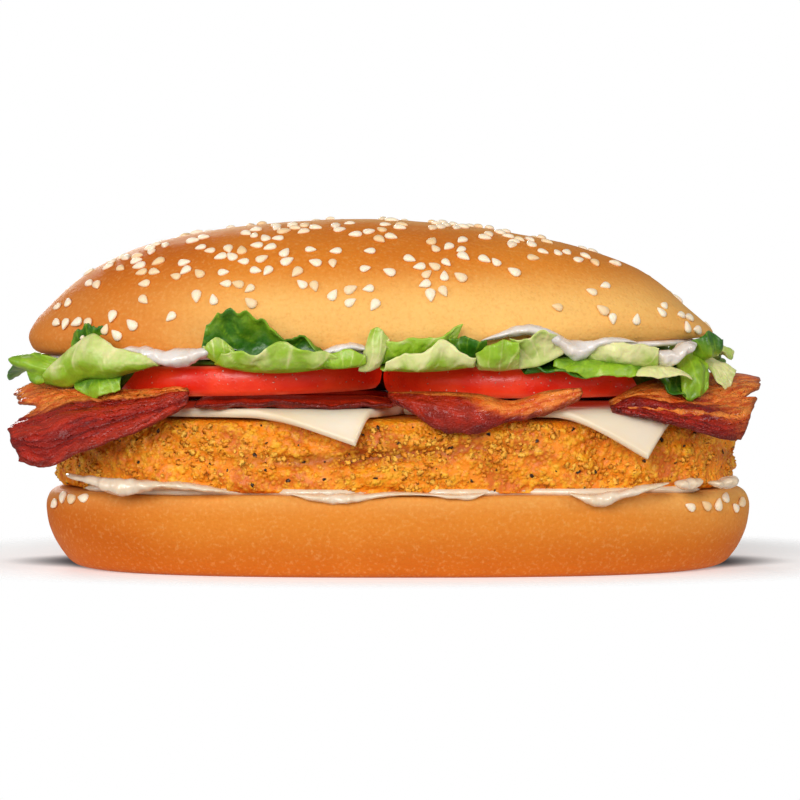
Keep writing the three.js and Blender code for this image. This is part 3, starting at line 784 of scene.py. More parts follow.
def crown_seed_spots():
    random = seeded_random(29)
    spots, last = [], None
    places = np.zeros((0, 3))
    while len(spots) < CROWN_SEEDS:
        direction, draw = drawn_direction(random, last)
        if direction is None or direction[2] < lowest_seed(direction):
            continue
        if len(spots) >= SOLID_SEEDS and BARE_RIDGE[0] < direction[1] < BARE_RIDGE[1]:
            continue
        point = dome_point(direction)
        if len(places) and np.linalg.norm(places - point, axis=1).min() < SEED_APART:
            continue
        spots.append((point, dome_normal(direction), 2 * math.pi * draw))
        places = np.vstack([places, point])
        last = direction
    return spots


# Groups on the lower half's shoulder: from and to which bearing, in degrees, and how many seeds.
HEEL_SEED_GROUPS = [(196, 214, 4), (318, 346, 6), (20, 40, 3), (140, 165, 4)]
HEEL_SEEDS_LOW, HEEL_SEEDS_SPAN = 15.6, 4.0


def heel_seed_spots():
    random = seeded_random(11)
    spots = []
    for start, end, count in HEEL_SEED_GROUPS:
        for i in range(count):
            angle = math.radians(start + (end - start) * (i + 0.25 + 0.5 * next(random)) / count)
            height = HEEL_SEEDS_LOW + HEEL_SEEDS_SPAN * next(random)
            share = 1 - 0.015 * smooth(17.4, 19.5, height)
            x, y = outline(HEEL, angle) * share
            out = outward(HEEL, angle)
            normal = np.array([out[0], out[1], smooth(16, HEEL_HEIGHT, height)])
            normal /= np.linalg.norm(normal)
            spots.append((np.array([x, y, height]), normal, math.pi * next(random)))
    return spots


seed_spots = crown_seed_spots() + heel_seed_spots()
print("seeds:", len(seed_spots))

# %% [markdown]
# ## Growing one thing on many points
# Laying three hundred seeds by hand would be dull, and copies would all look alike. Geometry Nodes put
# a thing on every point, turn it and vary its size. A tree is built here like a material, with its
# sizes as named inputs. It ends by making the copies real mesh, as copies aren't exported, and the
# result is taken off the object as a plain mesh.

# %% Prepare trees that grow things
def new_geometry_tree(name, sizes):
    """A Geometry Nodes tree with named inputs; also a Wire from each, and their identifiers."""
    group = bpy.data.node_groups.new(name, "GeometryNodeTree")
    group.interface.new_socket("Geometry", in_out="INPUT", socket_type="NodeSocketGeometry")
    group.interface.new_socket("Geometry", in_out="OUTPUT", socket_type="NodeSocketGeometry")
    identifiers = {}
    for size, value in sizes.items():
        socket = group.interface.new_socket(size, in_out="INPUT", socket_type="NodeSocketFloat")
        socket.default_value = value
        identifiers[size] = socket.identifier
    tree = Tree(group)
    inputs = group.nodes.new("NodeGroupInput")
    wires = {socket.name: Wire(tree, socket) for socket in inputs.outputs if socket.name}
    return tree, wires, identifiers


def random_share(tree, seed, low=0.0, high=1.0):
    """A random number for each thing."""
    sockets = {"Min": low, "Max": high, "Seed": seed}
    return tree.node("FunctionNodeRandomValue", {"data_type": "FLOAT"}, sockets, "Value")


def end_growth(tree, placed, finish, seed):
    """Gives every copy a tone of its own, and makes all of them one real mesh in one finish."""
    settings = {"data_type": "FLOAT", "domain": "INSTANCE"}
    sockets = {"Geometry": placed, "Name": "tone", "Value": random_share(tree, seed)}
    toned = tree.node("GeometryNodeStoreNamedAttribute", settings, sockets)
    real = tree.node("GeometryNodeRealizeInstances", None, {"Geometry": toned})
    round_faces = tree.node("GeometryNodeSetShadeSmooth", None, {"Geometry": real})
    sockets = {"Geometry": round_faces, "Material": finish}
    done = tree.node("GeometryNodeSetMaterial", None, sockets)
    tree.node("NodeGroupOutput", None, {0: done})


def grown(piece, tree, sizes):
    """The piece's own mesh, after a Geometry Nodes tree has been applied to it."""
    modifier = piece.modifiers.new("grow", "NODES")
    modifier.node_group = tree
    for identifier, value in sizes.items():
        modifier[identifier] = value
    bpy.context.view_layer.update()
    ready = piece.evaluated_get(bpy.context.evaluated_depsgraph_get())
    mesh = bpy.data.meshes.new_from_object(ready)
    piece.modifiers.remove(modifier)
    piece.data = mesh
    return piece


print("a tree ends by making its copies real")

# %% Shape a seed and sow it
SEED_LENGTH = 3.4
SEED_WIDTH = 2.1
SEED_HEIGHT = 1.35
SEED_LIFT = 0.32


def seed_shape(tree, length, width, height):
    """A ball drawn out to a drop, blunt at one end."""
    ball = tree.node("GeometryNodeMeshUVSphere", None, {"Segments": 12, "Rings": 8, "Radius": 0.5})
    place = tree.node("GeometryNodeInputPosition")
    x, y, z = (tree.node("ShaderNodeSeparateXYZ", None, {0: place}, axis) for axis in "XYZ")
    narrow = (1.06 - y * 1.5) ** 0.8
    belly = 1 - y * 0.35
    drawn = {0: x * narrow * width, 1: y * length, 2: z * belly * height}
    drop = tree.node("ShaderNodeCombineXYZ", None, drawn)
    return tree.node("GeometryNodeSetPosition", None, {"Geometry": ball, "Position": drop})


def seed_tree(finish):
    sizes = {"Length": SEED_LENGTH * MM, "Width": SEED_WIDTH * MM, "Height": SEED_HEIGHT * MM}
    tree, wires, identifiers = new_geometry_tree("sow_seeds", sizes)
    points = tree.node("GeometryNodeMeshToPoints", None, {"Mesh": wires["Geometry"]})
    turn = {"data_type": "FLOAT_VECTOR"}
    sockets = {
        "Points": points,
        "Instance": seed_shape(tree, *(wires[size] for size in sizes)),
        "Rotation": tree.node("GeometryNodeInputNamedAttribute", turn, {"Name": "turn"}),
        "Scale": random_share(tree, 5, 0.86, 1.1),
    }
    placed = tree.node("GeometryNodeInstanceOnPoints", None, sockets)
    end_growth(tree, placed, finish, 9)
    return tree.tree, {identifiers[size]: value for size, value in sizes.items()}


def seed_finish():
    finish = Finish("sesame_husk")
    shade = finish.tone("tone")
    colour = finish.mix(shade.rising(0.55, 1), ink(252, 232, 204), ink(240, 204, 152))
    colour = finish.mix(finish.grain(0.9).rising(0.5, 0.8) * 0.25, colour, ink(226, 180, 122))
    return finish.surface(
        Base_Color=colour,
        Roughness=0.35 + shade * 0.15,
        Subsurface_Weight=0.25,
        Subsurface_Radius=(1.0, 0.7, 0.4),
        Subsurface_Scale=0.8 * MM,
    )


def turned_to(normal, spin):
    """The Euler angles that stand a thing on a surface and spin it."""
    stand = Vector((0, 0, 1)).rotation_difference(Vector(normal))
    return (stand @ Quaternion((0, 0, 1), spin)).to_euler()


def points_piece(name, spots, lift):
    """A mesh of loose points, each with the turn of what will stand on it."""
    mesh = bpy.data.meshes.new(name)
    mesh.from_pydata([tuple((point + normal * lift) * MM) for point, normal, spin in spots], [], [])
    turns = mesh.attributes.new("turn", "FLOAT_VECTOR", "POINT")
    angles = [tuple(turned_to(normal, spin)) for point, normal, spin in spots]
    turns.data.foreach_set("vector", np.array(angles, np.float32).ravel())
    piece = bpy.data.objects.new(name, mesh)
    bpy.context.scene.collection.objects.link(piece)
    return piece


seeds = points_piece("sesame_seeds", seed_spots, SEED_LIFT)
stand_for(grown(seeds, *seed_tree(seed_finish())), "crust")

# %% [markdown]
# ## The patty
# The chicken was rolled in crumbs and fried. Large lumps and a crease come from the CAD formula; on them
# sit grains of breading, round caps of two sizes that we push out of the surface. Their height is kept as
# a number at each point: the grains are a paler yellow, partly their own colour and partly a painted
# highlight on what stands out. The crease is darkened with painted shade.

# %% Bread the patty
PATTY = Oval(88, 38.5, 2.5, -0.5)
PATTY_BOTTOM = 21.6
PATTY_PROFILE = [
    (0.86, 0.05),
    (0.93, 0.1),
    (0.975, 1.2),
    (0.992, 3.6),
    (0.997, 6.4),
    (1, 8.6),
    (1, 10.8),
    (0.997, 13.2),
    (0.985, 15),
    (0.955, 16.7),
    (0.88, 17.5),
    (0.82, 17.6),
]
PATTY_TOP = 17.7
CREASE_DEPTH = 1.7
PATTY_RIM_SAG = 1.1  # the rim hangs down this far, until it touches the bun


def patty_lump(x, y, z):
    large = np.sin(0.115 * x + 1.3) * np.cos(0.21 * z + 0.07 * x) + np.sin(0.19 * y + 0.6)
    small = np.sin(0.31 * x + 0.5 * z + 2.1) * np.cos(0.27 * y - 0.42 * z + 0.4)
    return 0.75 * large + 0.7 * small


def patty_crease(x, z):
    """A long fold along the side, deeper in some places than in others."""
    where = 0.5 + 0.5 * np.sin(0.055 * x + 1.9)
    level = 30.5 + 1.6 * np.sin(0.06 * x)
    return CREASE_DEPTH * where * np.exp(-(((z - level) / 1.5) ** 2))


def patty_bulge(x, y, z):
    """A thick fold of breading, low in the middle of the front."""
    return 1.3 * np.exp(-(((x + 5) / 11) ** 2) - ((z - 25.4) / 3.2) ** 2) * (y < 0)


# Without a seed, noise_vector starts from the clock, and the grains would differ in every run.
noise.seed_set(4)


def grain_chips(points, size, seed, share, clumps):
    """Chips from 0 to 1: one in each cell of about size mm, in a share of the cells."""
    shift = Vector((3.7, 9.1, 5.3)) * seed
    chips = []
    for p, clump in zip(points.reshape(-1, 3) / size, clumps.ravel()):
        bent = Vector(p) + noise.noise_vector(Vector(p) * 1.7 + shift) * 0.3
        distances, middles = noise.voronoi(bent + shift)
        draw = math.sin(middles[0].dot(Vector((12.99, 78.23, 37.7)))) * 4375.85 % 1
        level = 1 - distances[0] / (0.34 + 0.3 * (draw * 7 % 1))
        near = draw < share * (1 + 0.8 * clump)
        chips.append(min(max(level, 0) * 1.9, 1) ** 0.7 * (0.6 + 0.4 * draw) if near else 0)
    return np.array(chips).reshape(points.shape[:-1])


def patty_grid(sectors, rings):
    angle = np.linspace(0, 2 * math.pi, sectors, endpoint=False)[None, :]
    side = smooth_line([(share * 60, z) for share, z in PATTY_PROFILE], rings)
    profile = [(0.3, 0), (0.7, 0), *[(r / 60, max(z, 0)) for r, z in side]]
    profile += [(0.7, PATTY_TOP), (0.3, PATTY_TOP)]
    share, height = (np.array(column)[:, None] for column in zip(*profile))
    edge = outline(PATTY, angle)
    x = PATTY.x + (edge[..., 0] - PATTY.x) * share
    y = edge[..., 1] * share
    rim_sag = PATTY_RIM_SAG * smooth(0.86, 0.96, share) * smooth(4, 0.5, height)
    z = PATTY_BOTTOM + np.broadcast_to(height - rim_sag, x.shape)
    on_side = np.broadcast_to(smooth(0.93, 0.99, share), x.shape)
    out = outward(PATTY, angle)
    straighter = 1 - smooth(66, 82, x)
    relief = patty_lump(x, y, z) - patty_crease(x, z) * straighter - 0.5
    relief = on_side * (relief + patty_bulge(x, y, z))
    points = np.stack([x + out[..., 0] * relief, y + out[..., 1] * relief, z], -1)
    return points, on_side


print("the patty is as long, in mm, as:", 2 * PATTY.half_length)

# %% Cover the patty with breading
patty_points, on_side = patty_grid(1200, 62)
clumps = swells(patty_points, 9, seed=7)
coarse = grain_chips(patty_points, 3.0, 1, 0.34, clumps)
middling = grain_chips(patty_points, 1.9, 2, 0.5, clumps)
fine = grain_chips(patty_points, 1.1, 3, 0.6, clumps)
crags = np.maximum(np.maximum(coarse, middling * 0.8), fine * 0.5)
rough = swells(patty_points, 7, seed=5) * 0.7 + swells(patty_points, 1.5, seed=6) * 0.25
breading = (1.15 * crags + rough - 0.65) * (0.08 + 0.92 * on_side)
patty_crust_points = patty_points + grid_normals(patty_points, True) * breading[..., None]
# The crease, where the finish paints shade.
hollow = np.clip(patty_crease(patty_points[..., 0], patty_points[..., 2]) / CREASE_DEPTH, 0, 1)
print("tallest grain in mm:", round(float(breading.max()), 2))

# %% [markdown]
# ## The colours of frying
# Hot fat turns breading golden and red-brown in patches. Painted shade darkens the crease, and the grains
# that stand out are a paler yellow, partly their own colour and partly a painted highlight. The numbers
# kept at each point say which is which.

# %% Colour the breading
FRY_GOLD = ink(248, 142, 10)
FRY_YELLOW_AND_HIGHLIGHT = ink(255, 190, 40)
FRY_BROWN_AND_SHADE = ink(150, 62, 12)
FRY_RED = ink(204, 88, 16)


def breading_finish():
    finish = Finish("fried_breading")
    grains, hollows = finish.tone("grain"), finish.tone("hollow")
    patches = finish.grain(9, 3)
    colour = finish.mix(patches.rising(0.45, 0.62) * 0.7, FRY_GOLD, FRY_RED)
    colour = finish.mix(finish.grain(2.6, 4).rising(0.5, 0.68) * 0.6, colour, FRY_YELLOW_AND_HIGHLIGHT)
    # Painted shade: the crease is darker, as if shade fell in it.
    colour = finish.mix(hollows * 0.8, colour, FRY_BROWN_AND_SHADE)
    # The grains are paler: partly their own colour, partly a painted highlight on what stands out.
    colour = finish.mix((grains + finish.grain(1.2) * 0.6).rising(0.5, 1.2) * 0.9, colour, FRY_YELLOW_AND_HIGHLIGHT)
    colour = finish.mix(finish.grain(0.8, 3).rising(0.55, 0.72) * 0.45, colour, FRY_BROWN_AND_SHADE)
    # Raised granules are paler too, partly their own colour and partly a painted highlight.
    granules = 1 - finish.cells(1.25).rising(0.12, 0.62)
    colour = finish.mix(granules * 0.4, colour, FRY_YELLOW_AND_HIGHLIGHT)
    relief = finish.bump(granules, 0.3)
    relief = finish.bump(finish.grain(0.6, 4), 0.25, relief)
    return finish.surface(
        Base_Color=colour,
        Roughness=0.36 + finish.grain(3.0) * 0.3,
        Normal=relief,
        Coat_Weight=0.1,
        Coat_Roughness=0.2,
        Specular_IOR_Level=0.35,
        Subsurface_Weight=0.15,
        Subsurface_Radius=(1.0, 0.5, 0.15),
        Subsurface_Scale=0.6 * MM,
    )


patty = make_piece(
    "patty_breading",
    close_rings(patty_crust_points),
    ring_faces(*patty_crust_points.shape[:2]),
    breading_finish(),
    {
        "grain": close_tones(crags),
        "hollow": close_tones(hollow),
        "side": close_tones(on_side),
        "clump": close_tones(on_side * smooth(-0.1, 0.1, clumps)),
    },
)
stand_for(patty, "breading", "chicken_patty")

# %% [markdown]
# ## Loose crumbs and pepper
# Some grains of breading stand free of the crust, and flakes of black pepper lie in it. Geometry
# Nodes scatter both over the patty's side: points at least so far apart, on each a small rough lump,
# turned at random. A flake is the same lump, pressed thin and drawn out.

# %% Scatter lumps over a surface
# One kind of lump: its size and how much it varies, both the least distance between two in mm and the
# most on a square metre, how it is squashed, its seed, and the number that is above a half where it lies.
Lump = namedtuple("Lump", "size spread spacing density squash seed where")


def lump_shape(tree, squash):
    """A ball made lumpy by noise, then squashed."""
    ball = tree.node("GeometryNodeMeshIcoSphere", None, {"Radius": 0.5, "Subdivisions": 2})
    shift = tree.node("ShaderNodeTexNoise", None, {"Scale": 2.6, "Detail": 1.0}, "Color")
    for operation, value in (("SUBTRACT", 0.5), ("MULTIPLY", 1.6)):
        sockets = {0: shift, 1: (value, value, value)}
        shift = tree.node("ShaderNodeVectorMath", {"operation": operation}, sockets)
    lump = tree.node("GeometryNodeSetPosition", None, {"Geometry": ball, "Offset": shift})
    return tree.node("GeometryNodeTransform", None, {"Geometry": lump, "Scale": squash})


def scattered_points(tree, wires, lump):
    """Points at least so far apart, and the upright at each, turned at random."""
    number = {"data_type": "FLOAT"}
    here = tree.node("GeometryNodeInputNamedAttribute", number, {"Name": lump.where})
    sockets = {
        "Mesh": wires["Geometry"],
        "Selection": tree.node("FunctionNodeCompare", {"operation": "GREATER_THAN"}, {0: here, 1: 0.5}),
        "Distance Min": wires["Spacing"],
        "Density Max": wires["Density"],
        "Seed": lump.seed,
    }
    settings = {"distribute_method": "POISSON"}
    points = tree.node("GeometryNodeDistributePointsOnFaces", settings, sockets)
    upright = Wire(tree, points.socket.node.outputs["Rotation"])
    sockets = {"Min": (-0.5, -0.5, 0.0), "Max": (0.5, 0.5, 6.28), "Seed": lump.seed + 1}
    turn = tree.node("FunctionNodeRandomValue", {"data_type": "FLOAT_VECTOR"}, sockets, "Value")
    settings = {"rotation_space": "LOCAL"}
    return points, tree.node("FunctionNodeRotateRotation", settings, {0: upright, 1: turn})


def scatter_tree(name, finish, lump):
    sizes = {"Size": lump.size * MM, "Spacing": lump.spacing * MM, "Density": lump.density}
    tree, wires, identifiers = new_geometry_tree(name, sizes)
    points, turned = scattered_points(tree, wires, lump)
    scale = random_share(tree, lump.seed + 2, 1 - lump.spread, 1 + lump.spread) * wires["Size"]
    sockets = {"Points": points, "Instance": lump_shape(tree, lump.squash), "Rotation": turned}
    placed = tree.node("GeometryNodeInstanceOnPoints", None, {**sockets, "Scale": scale})
    end_growth(tree, placed, finish, lump.seed + 3)
    return tree.tree, {identifiers[size]: value for size, value in sizes.items()}


def scatter(name, host, slot, tree, sizes):
    """A new piece of what a tree scatters over the host's faces."""
    piece = bpy.data.objects.new(name, host.data.copy())
    bpy.context.scene.collection.objects.link(piece)
    stand_for(grown(piece, tree, sizes), slot)


print("a lump is described by:", ", ".join(Lump._fields))

# %% Sow the crumbs and the pepper
CRUMB = Lump(1.0, 0.6, 1.15, 6e5, (1.0, 1.3, 0.55), 31, "clump")
PEPPER = Lump(0.75, 0.5, 3.8, 3.6e4, (0.7, 1.6, 0.4), 47, "side")


def crumb_finish():
    finish = Finish("loose_crumb")
    shade = finish.tone("tone")
    colour = finish.mix(shade.rising(0, 1), ink(238, 142, 24), ink(255, 190, 66))
    colour = finish.mix(finish.grain(1.2).rising(0.5, 0.8) * 0.4, colour, ink(216, 104, 28))
    return finish.surface(
        Base_Color=colour,
        Roughness=0.45,
        Normal=finish.bump(finish.grain(0.4, 3), 0.12),
        Specular_IOR_Level=0.35,
    )


def pepper_finish():
    finish = Finish("black_pepper")
    colour = finish.mix(finish.tone("tone"), ink(34, 22, 14), ink(74, 44, 22))
    return finish.surface(Base_Color=colour, Roughness=0.4)


scatter("patty_crumbs", patty, "breading", *scatter_tree("sow_crumbs", crumb_finish(), CRUMB))
scatter("patty_pepper", patty, "breading", *scatter_tree("sow_pepper", pepper_finish(), PEPPER))

# %% [markdown]
# ## Cheese
# A square slice laid corner forward, softened by the warm patty, so that it bends down over the edge.
# It is one even sheet: two sides of a grid with a rounded rim. Slow noise keeps it from looking
# pressed, and a little scattering under the surface gives it its creamy depth.

# %% Drape the cheese
CHEESE_SIDE = 66
CHEESE_THICKNESS = 2.2
CHEESE_MIDDLE = 39.6 + CHEESE_THICKNESS / 2
CHEESE_BEND = math.radians(62)
BEND_START = -1
BEND_LENGTH = 6
CHEESE_SLICES = {"cheese_left": (-10.4, -48.5), "cheese_right": (62.6, -46.2)}  # the front corners
CHEESE_TURN = math.radians(22)


def drape(x, y, level, bend):
    """Where a slice's plan points lie once it has bent over the patty's edge."""
    n = PATTY.squareness
    half = np.array([PATTY.half_length, PATTY.half_width])
    place = np.stack([x - PATTY.x, y], -1) / half
    share = np.maximum((np.abs(place) ** n).sum(-1) ** (1 / n), 1e-3)
    slope = signed_power(place, n - 1) / half * (share ** (1 - n))[..., None]
    steep = np.maximum(np.linalg.norm(slope, axis=-1), 1e-6)
    out = slope / steep[..., None]
    past = np.maximum((share - 1) / steep - BEND_START, 0)
    turned = np.minimum(past, BEND_LENGTH)
    angle = bend * turned / BEND_LENGTH
    radius = BEND_LENGTH / bend
    run = radius * np.sin(angle) + (past - turned) * np.cos(angle)
    drop = radius * (1 - np.cos(angle)) + (past - turned) * np.sin(angle)
    x, y = x + out[..., 0] * (run - past), y + out[..., 1] * (run - past)
    return np.stack([x, y, level - drop], -1)


def sheet_shares(columns, rows):
    """The shares u along and v across of a sheet's grid, closer together at its edges."""
    def eased(count):
        t = np.linspace(0, 1, count)
        return t * 0.72 + 0.28 * smooth(0, 1, t)
    return np.meshgrid(eased(columns), eased(rows))


def cheese_piece(node, corner):
    u, v = sheet_shares(150, 150)
    left, back = u * CHEESE_SIDE, v * CHEESE_SIDE
    x = corner[0] - left * math.cos(CHEESE_TURN) + back * math.sin(CHEESE_TURN)
    y = corner[1] + left * math.sin(CHEESE_TURN) + back * math.cos(CHEESE_TURN)
    middle = drape(x, y, CHEESE_MIDDLE, CHEESE_BEND)
    soft = swells(middle, 14, seed=8, octaves=2) * 0.35
    middle = middle + grid_normals(middle) * (soft * smooth(-30, -40, y))[..., None]
    thickness = CHEESE_THICKNESS * rounded_rim(u, v, CHEESE_SIDE, CHEESE_SIDE, 0.8)
    edge = 1 - smooth(0, 3, np.minimum(np.minimum(u, 1 - u), np.minimum(v, 1 - v)) * CHEESE_SIDE)
    points = thicken(middle, thickness)
    tones = {"edge": np.tile(edge.ravel(), 2)}
    piece = make_piece(node + "_slice", points, sheet_faces(*u.shape), cheese_paint, tones)
    stand_for(piece, "cheese", node)


def cheese_finish():
    finish = Finish("white_cheese")
    colour = finish.mix(finish.grain(20).rising(0.35, 0.7), ink(235, 221, 199), ink(233, 216, 187))
    colour = finish.mix(finish.tone("edge") * 0.3, colour, ink(236, 200, 150))
    return finish.surface(
        Base_Color=colour,
        Roughness=0.34 + finish.grain(4) * 0.1,
        Normal=finish.bump(finish.grain(2.5, 2), 0.05),
        Subsurface_Weight=0.5,
        Subsurface_Radius=(1.0, 0.8, 0.5),
        Subsurface_Scale=2.5 * MM,
    )


cheese_paint = cheese_finish()
for node, corner in CHEESE_SLICES.items():
    cheese_piece(node, corner)

# %% [markdown]
# ## Bacon
# Fried bacon is a long sheet. Three strips lie in the layer and droop over the patty's edge, as their
# CAD solids do. Three hang out at the front, where the picture shows every turn of them, so they
# follow lines through places of the picture, at the depths that their solids reach.

# %% Paths of the strips
BACON_THICKNESS = 1.9
BACON_MIDDLE = 43.05
BACON_BEND = 7
FRONT, BACK = -1, 1

# A strip that lies in the layer: its ends along x, its inner edge, its widths, where it folds, how
# many degrees it droops, and on which side of the sandwich it lies.
Strip = namedtuple("Strip", "ends back width fold droop side")
LYING_STRIPS = {
    "bacon_mid_left": Strip((-50, -2), (-6, -8), (32, 30), (-36, -36), (28, 20), FRONT),
    "bacon_back_left": Strip((-1.8, -90), (4, 6), (31, 31), (36, 27), (2, 30), BACK),
    "bacon_back_right": Strip((-2.2, 84), (4, 7), (31, 31), (38, 34), (2, 24), BACK),
}

# A strip that hangs out at the front follows three lines of (px, py, y): its back edge, the ridge
# along its middle, and its front edge. Its free end is the last point of each.
Hanging = namedtuple("Hanging", "back ridge front")
HANGING_STRIPS = {
    "bacon_left": Hanging(
        [(186, 393, -31), (150, 395, -22), (110, 395, -13), (70, 387, -8), (40, 382, -6),
         (20, 389, -5)],
        [(189, 391, -36), (150, 397, -34), (112, 400, -30), (72, 401, -26), (46, 408, -24),
         (22, 415, -22)],
        [(187, 405, -38.5), (155, 424, -40), (119, 440, -40.5), (76, 455, -40), (48, 468, -39),
         (22, 464, -37)],
    ),
    "bacon_mid_right": Hanging(
        [(388, 393, -31), (434, 392, -36), (478, 394, -37), (512, 401, -37.5), (547, 391, -38.5),
         (582, 388, -39)],
        [(389, 397, -34), (436, 406, -40.5), (476, 411, -41.5), (512, 410, -40.5), (548, 401, -39.8),
         (584, 391, -39.2)],
        [(398, 403, -36.5), (432, 427, -40.5), (470, 435, -41), (505, 424, -40.8), (548, 414, -39.8),
         (580, 399, -39.2)],
    ),
    "bacon_right": Hanging(
        [(610, 402, -26), (640, 385, -22), (670, 375, -16), (705, 373, -11), (738, 374, -7),
         (757, 378, -5)],
        [(610, 407, -33), (640, 401, -34), (672, 403, -31), (706, 405, -27), (736, 401, -23),
         (755, 396, -20)],
        [(613, 412, -36.5), (648, 419, -38), (676, 425, -38), (703, 434, -37), (722, 441, -36),
         (736, 441, -34)],
    ),
}


def lying_middle(strip, u, v):
    """Points of a lying strip: u from its inner to its outer end, v from its inner edge out."""
    def mix(pair):
        return pair[0] + (pair[1] - pair[0]) * u
    droop = np.radians(mix(strip.droop)) * smooth(0, 0.25, u)
    flat = np.maximum(0, (mix(strip.fold) - mix(strip.back)) * strip.side)
    along = v * mix(strip.width)
    past = np.maximum(0, along - flat)
    turned = np.minimum(past, BACON_BEND)
    angle = droop * turned / BACON_BEND
    radius = BACON_BEND / np.maximum(droop, 1e-4)
    run = radius * np.sin(angle) + (past - turned) * np.cos(angle)
    drop = radius * (1 - np.cos(angle)) + (past - turned) * np.sin(angle)
    y = mix(strip.back) + strip.side * (np.minimum(along, flat) + run)
    return np.stack([mix(strip.ends), y, BACON_MIDDLE - drop], -1)


def hanging_middle(strip, u, v):
    """Points of a hanging strip, through its back, its ridge and its front line."""
    lines = [smooth_line([seen(*spot) for spot in line], 200) for line in strip]
    share = np.linspace(0, 1, 200)
    back, ridge, front = (
        np.stack([np.interp(u, share, line[:, axis]) for axis in range(3)], -1) for line in lines
    )
    v = v[..., None]
    behind = (1 - 2 * v) * (1 - v) * back + 4 * v * (1 - v) * ridge + v * (2 * v - 1) * front
    straight = np.where(v < 0.5, back + (ridge - back) * 2 * v, ridge + (front - ridge) * (2 * v - 1))
    return behind * 0.8 + straight * 0.2


def strip_middle(node, u, v):
    """A strip before it is torn and wrinkled."""
    if node in HANGING_STRIPS:
        return hanging_middle(HANGING_STRIPS[node], u, v)
    return lying_middle(LYING_STRIPS[node], u, v)


print("strips:", len(LYING_STRIPS), "lying,", len(HANGING_STRIPS), "hanging")


# %% [markdown]
# ## Tearing and frying
# Lean and fat shrink by different amounts in the pan, so a strip gathers into ridges along its length,
# its free end splits into lobes and its edges crisp. All of it is noise, stretched along or across the
# strip. How fat, how crisp and how high on a ridge each point is are kept as numbers for the finish.

# %% Tear and wrinkle a strip
NOTCH = {"bacon_left": 5.0, "bacon_right": 4.5}  # mm, in the middle of a free end
LOBE = {"bacon_left": 2.4}  # mm, how far the free end's front part reaches on
AHEAD = 0.015  # a small step along a strip, as a share of it


def free_end(node, v, flat, seed):
    """How many mm the free end reaches on, or falls short, across the strip."""
    notch = NOTCH.get(node, 0) * (np.exp(-(((v - 0.45) / 0.06) ** 2)) - 0.25)
    lobe = LOBE.get(node, 0) * np.exp(-(((v - 0.72) / 0.16) ** 2))
    reach = 1.2 * swells(flat * (0.1, 1, 1), 6, seed) - notch + lobe
    if node.startswith("bacon_back"):
        reach = reach - 7 * smooth(0.55, 1, v) ** 2 + 2.5 * smooth(0.3, 0.6, v)  # a rounded corner
    return reach


def torn_middle(node, u, v, flat, length, width, seed):
    """The strip with a torn free end and a frayed front edge."""
    hanging = node in HANGING_STRIPS
    frayed = 0.8 * swells(flat * (1, 0.05, 1), 5, seed + 1)
    frayed = frayed + (0 if hanging else 1.6) * swells(flat * (1, 0.05, 1), 17, seed + 8, 1)
    u_torn = np.clip(u + free_end(node, v, flat, seed) * smooth(0.55, 1, u) / length, 0, 1.2)
    v_torn = 0.5 + (v - 0.5) * (1 + frayed * smooth(0.6, 1, v) / width)
    if not hanging:
        return strip_middle(node, u_torn, v_torn)
    # A hanging strip's lines stop at its free end, so what reaches on goes straight ahead.
    before = np.clip(u, 0, 1 - AHEAD)
    heading = strip_middle(node, before + AHEAD, v_torn) - strip_middle(node, before, v_torn)
    heading /= np.linalg.norm(heading, axis=-1, keepdims=True)
    return strip_middle(node, u, v_torn) + heading * ((u_torn - u) * length)[..., None]


def strip_relief(v, flat, width, hanging, seed):
    """Ridges, wrinkles and curl in mm, and how high on a ridge each point is, from 0 to 1."""
    free = smooth(0.0, 0.3, v) if hanging else smooth(0.7, 0.95, v)
    waves = np.sin(v * width / 1.9 + 1.4 * swells(flat * (0.25, 1, 1), 11, seed + 2))
    wrinkles = swells(flat * (0.4, 1, 1), 2.0, seed + 3) + 0.25 * swells(flat, 0.9, seed + 7, 1)
    curl = (0.5 if hanging else 1.1) * swells(flat, 9, seed + 4)
    relief = (0.42 * waves + 0.5 * wrinkles + curl) * free
    return relief, np.clip(0.5 + 0.5 * waves + 0.3 * wrinkles, 0, 1)


print("strips with a notch:", ", ".join(NOTCH))

# %% Fry a strip
# The places across a strip where bands of fat lie, each with its half width
FAT_BANDS = {
    "bacon_left": [(0.1, 0.2), (0.42, 0.1)],
    "bacon_mid_left": [(0.2, 0.1)],
    "bacon_mid_right": [(0.1, 0.06)],
    "bacon_right": [(0.12, 0.28), (0.52, 0.05), (0.72, 0.02)],
    "bacon_back_left": [(0.25, 0.1), (0.7, 0.08)],
    "bacon_back_right": [(0.35, 0.12), (0.75, 0.06)],
}
FATTY_END = {"bacon_mid_right": (0.42, 0.62), "bacon_right": (0.5, 0.88)}  # fat from here along it


def fat_share(node, u, v, flat, seed):
    """1 where a strip is fat and 0 where it is lean."""
    bands = v + 0.05 * swells(flat * (0.3, 1, 1), 9, seed + 5)
    fat = np.zeros_like(u)
    for at, half in FAT_BANDS[node]:
        fat = np.maximum(fat, 1 - smooth(half * 0.5, half * 1.6, np.abs(bands - at)))
    if node in FATTY_END:
        fatty = smooth(*FATTY_END[node], u + 0.35 * (0.5 - v))
        fat = np.maximum(fat, fatty * (1 - 0.6 * smooth(0.6, 0.9, v)))
    return fat


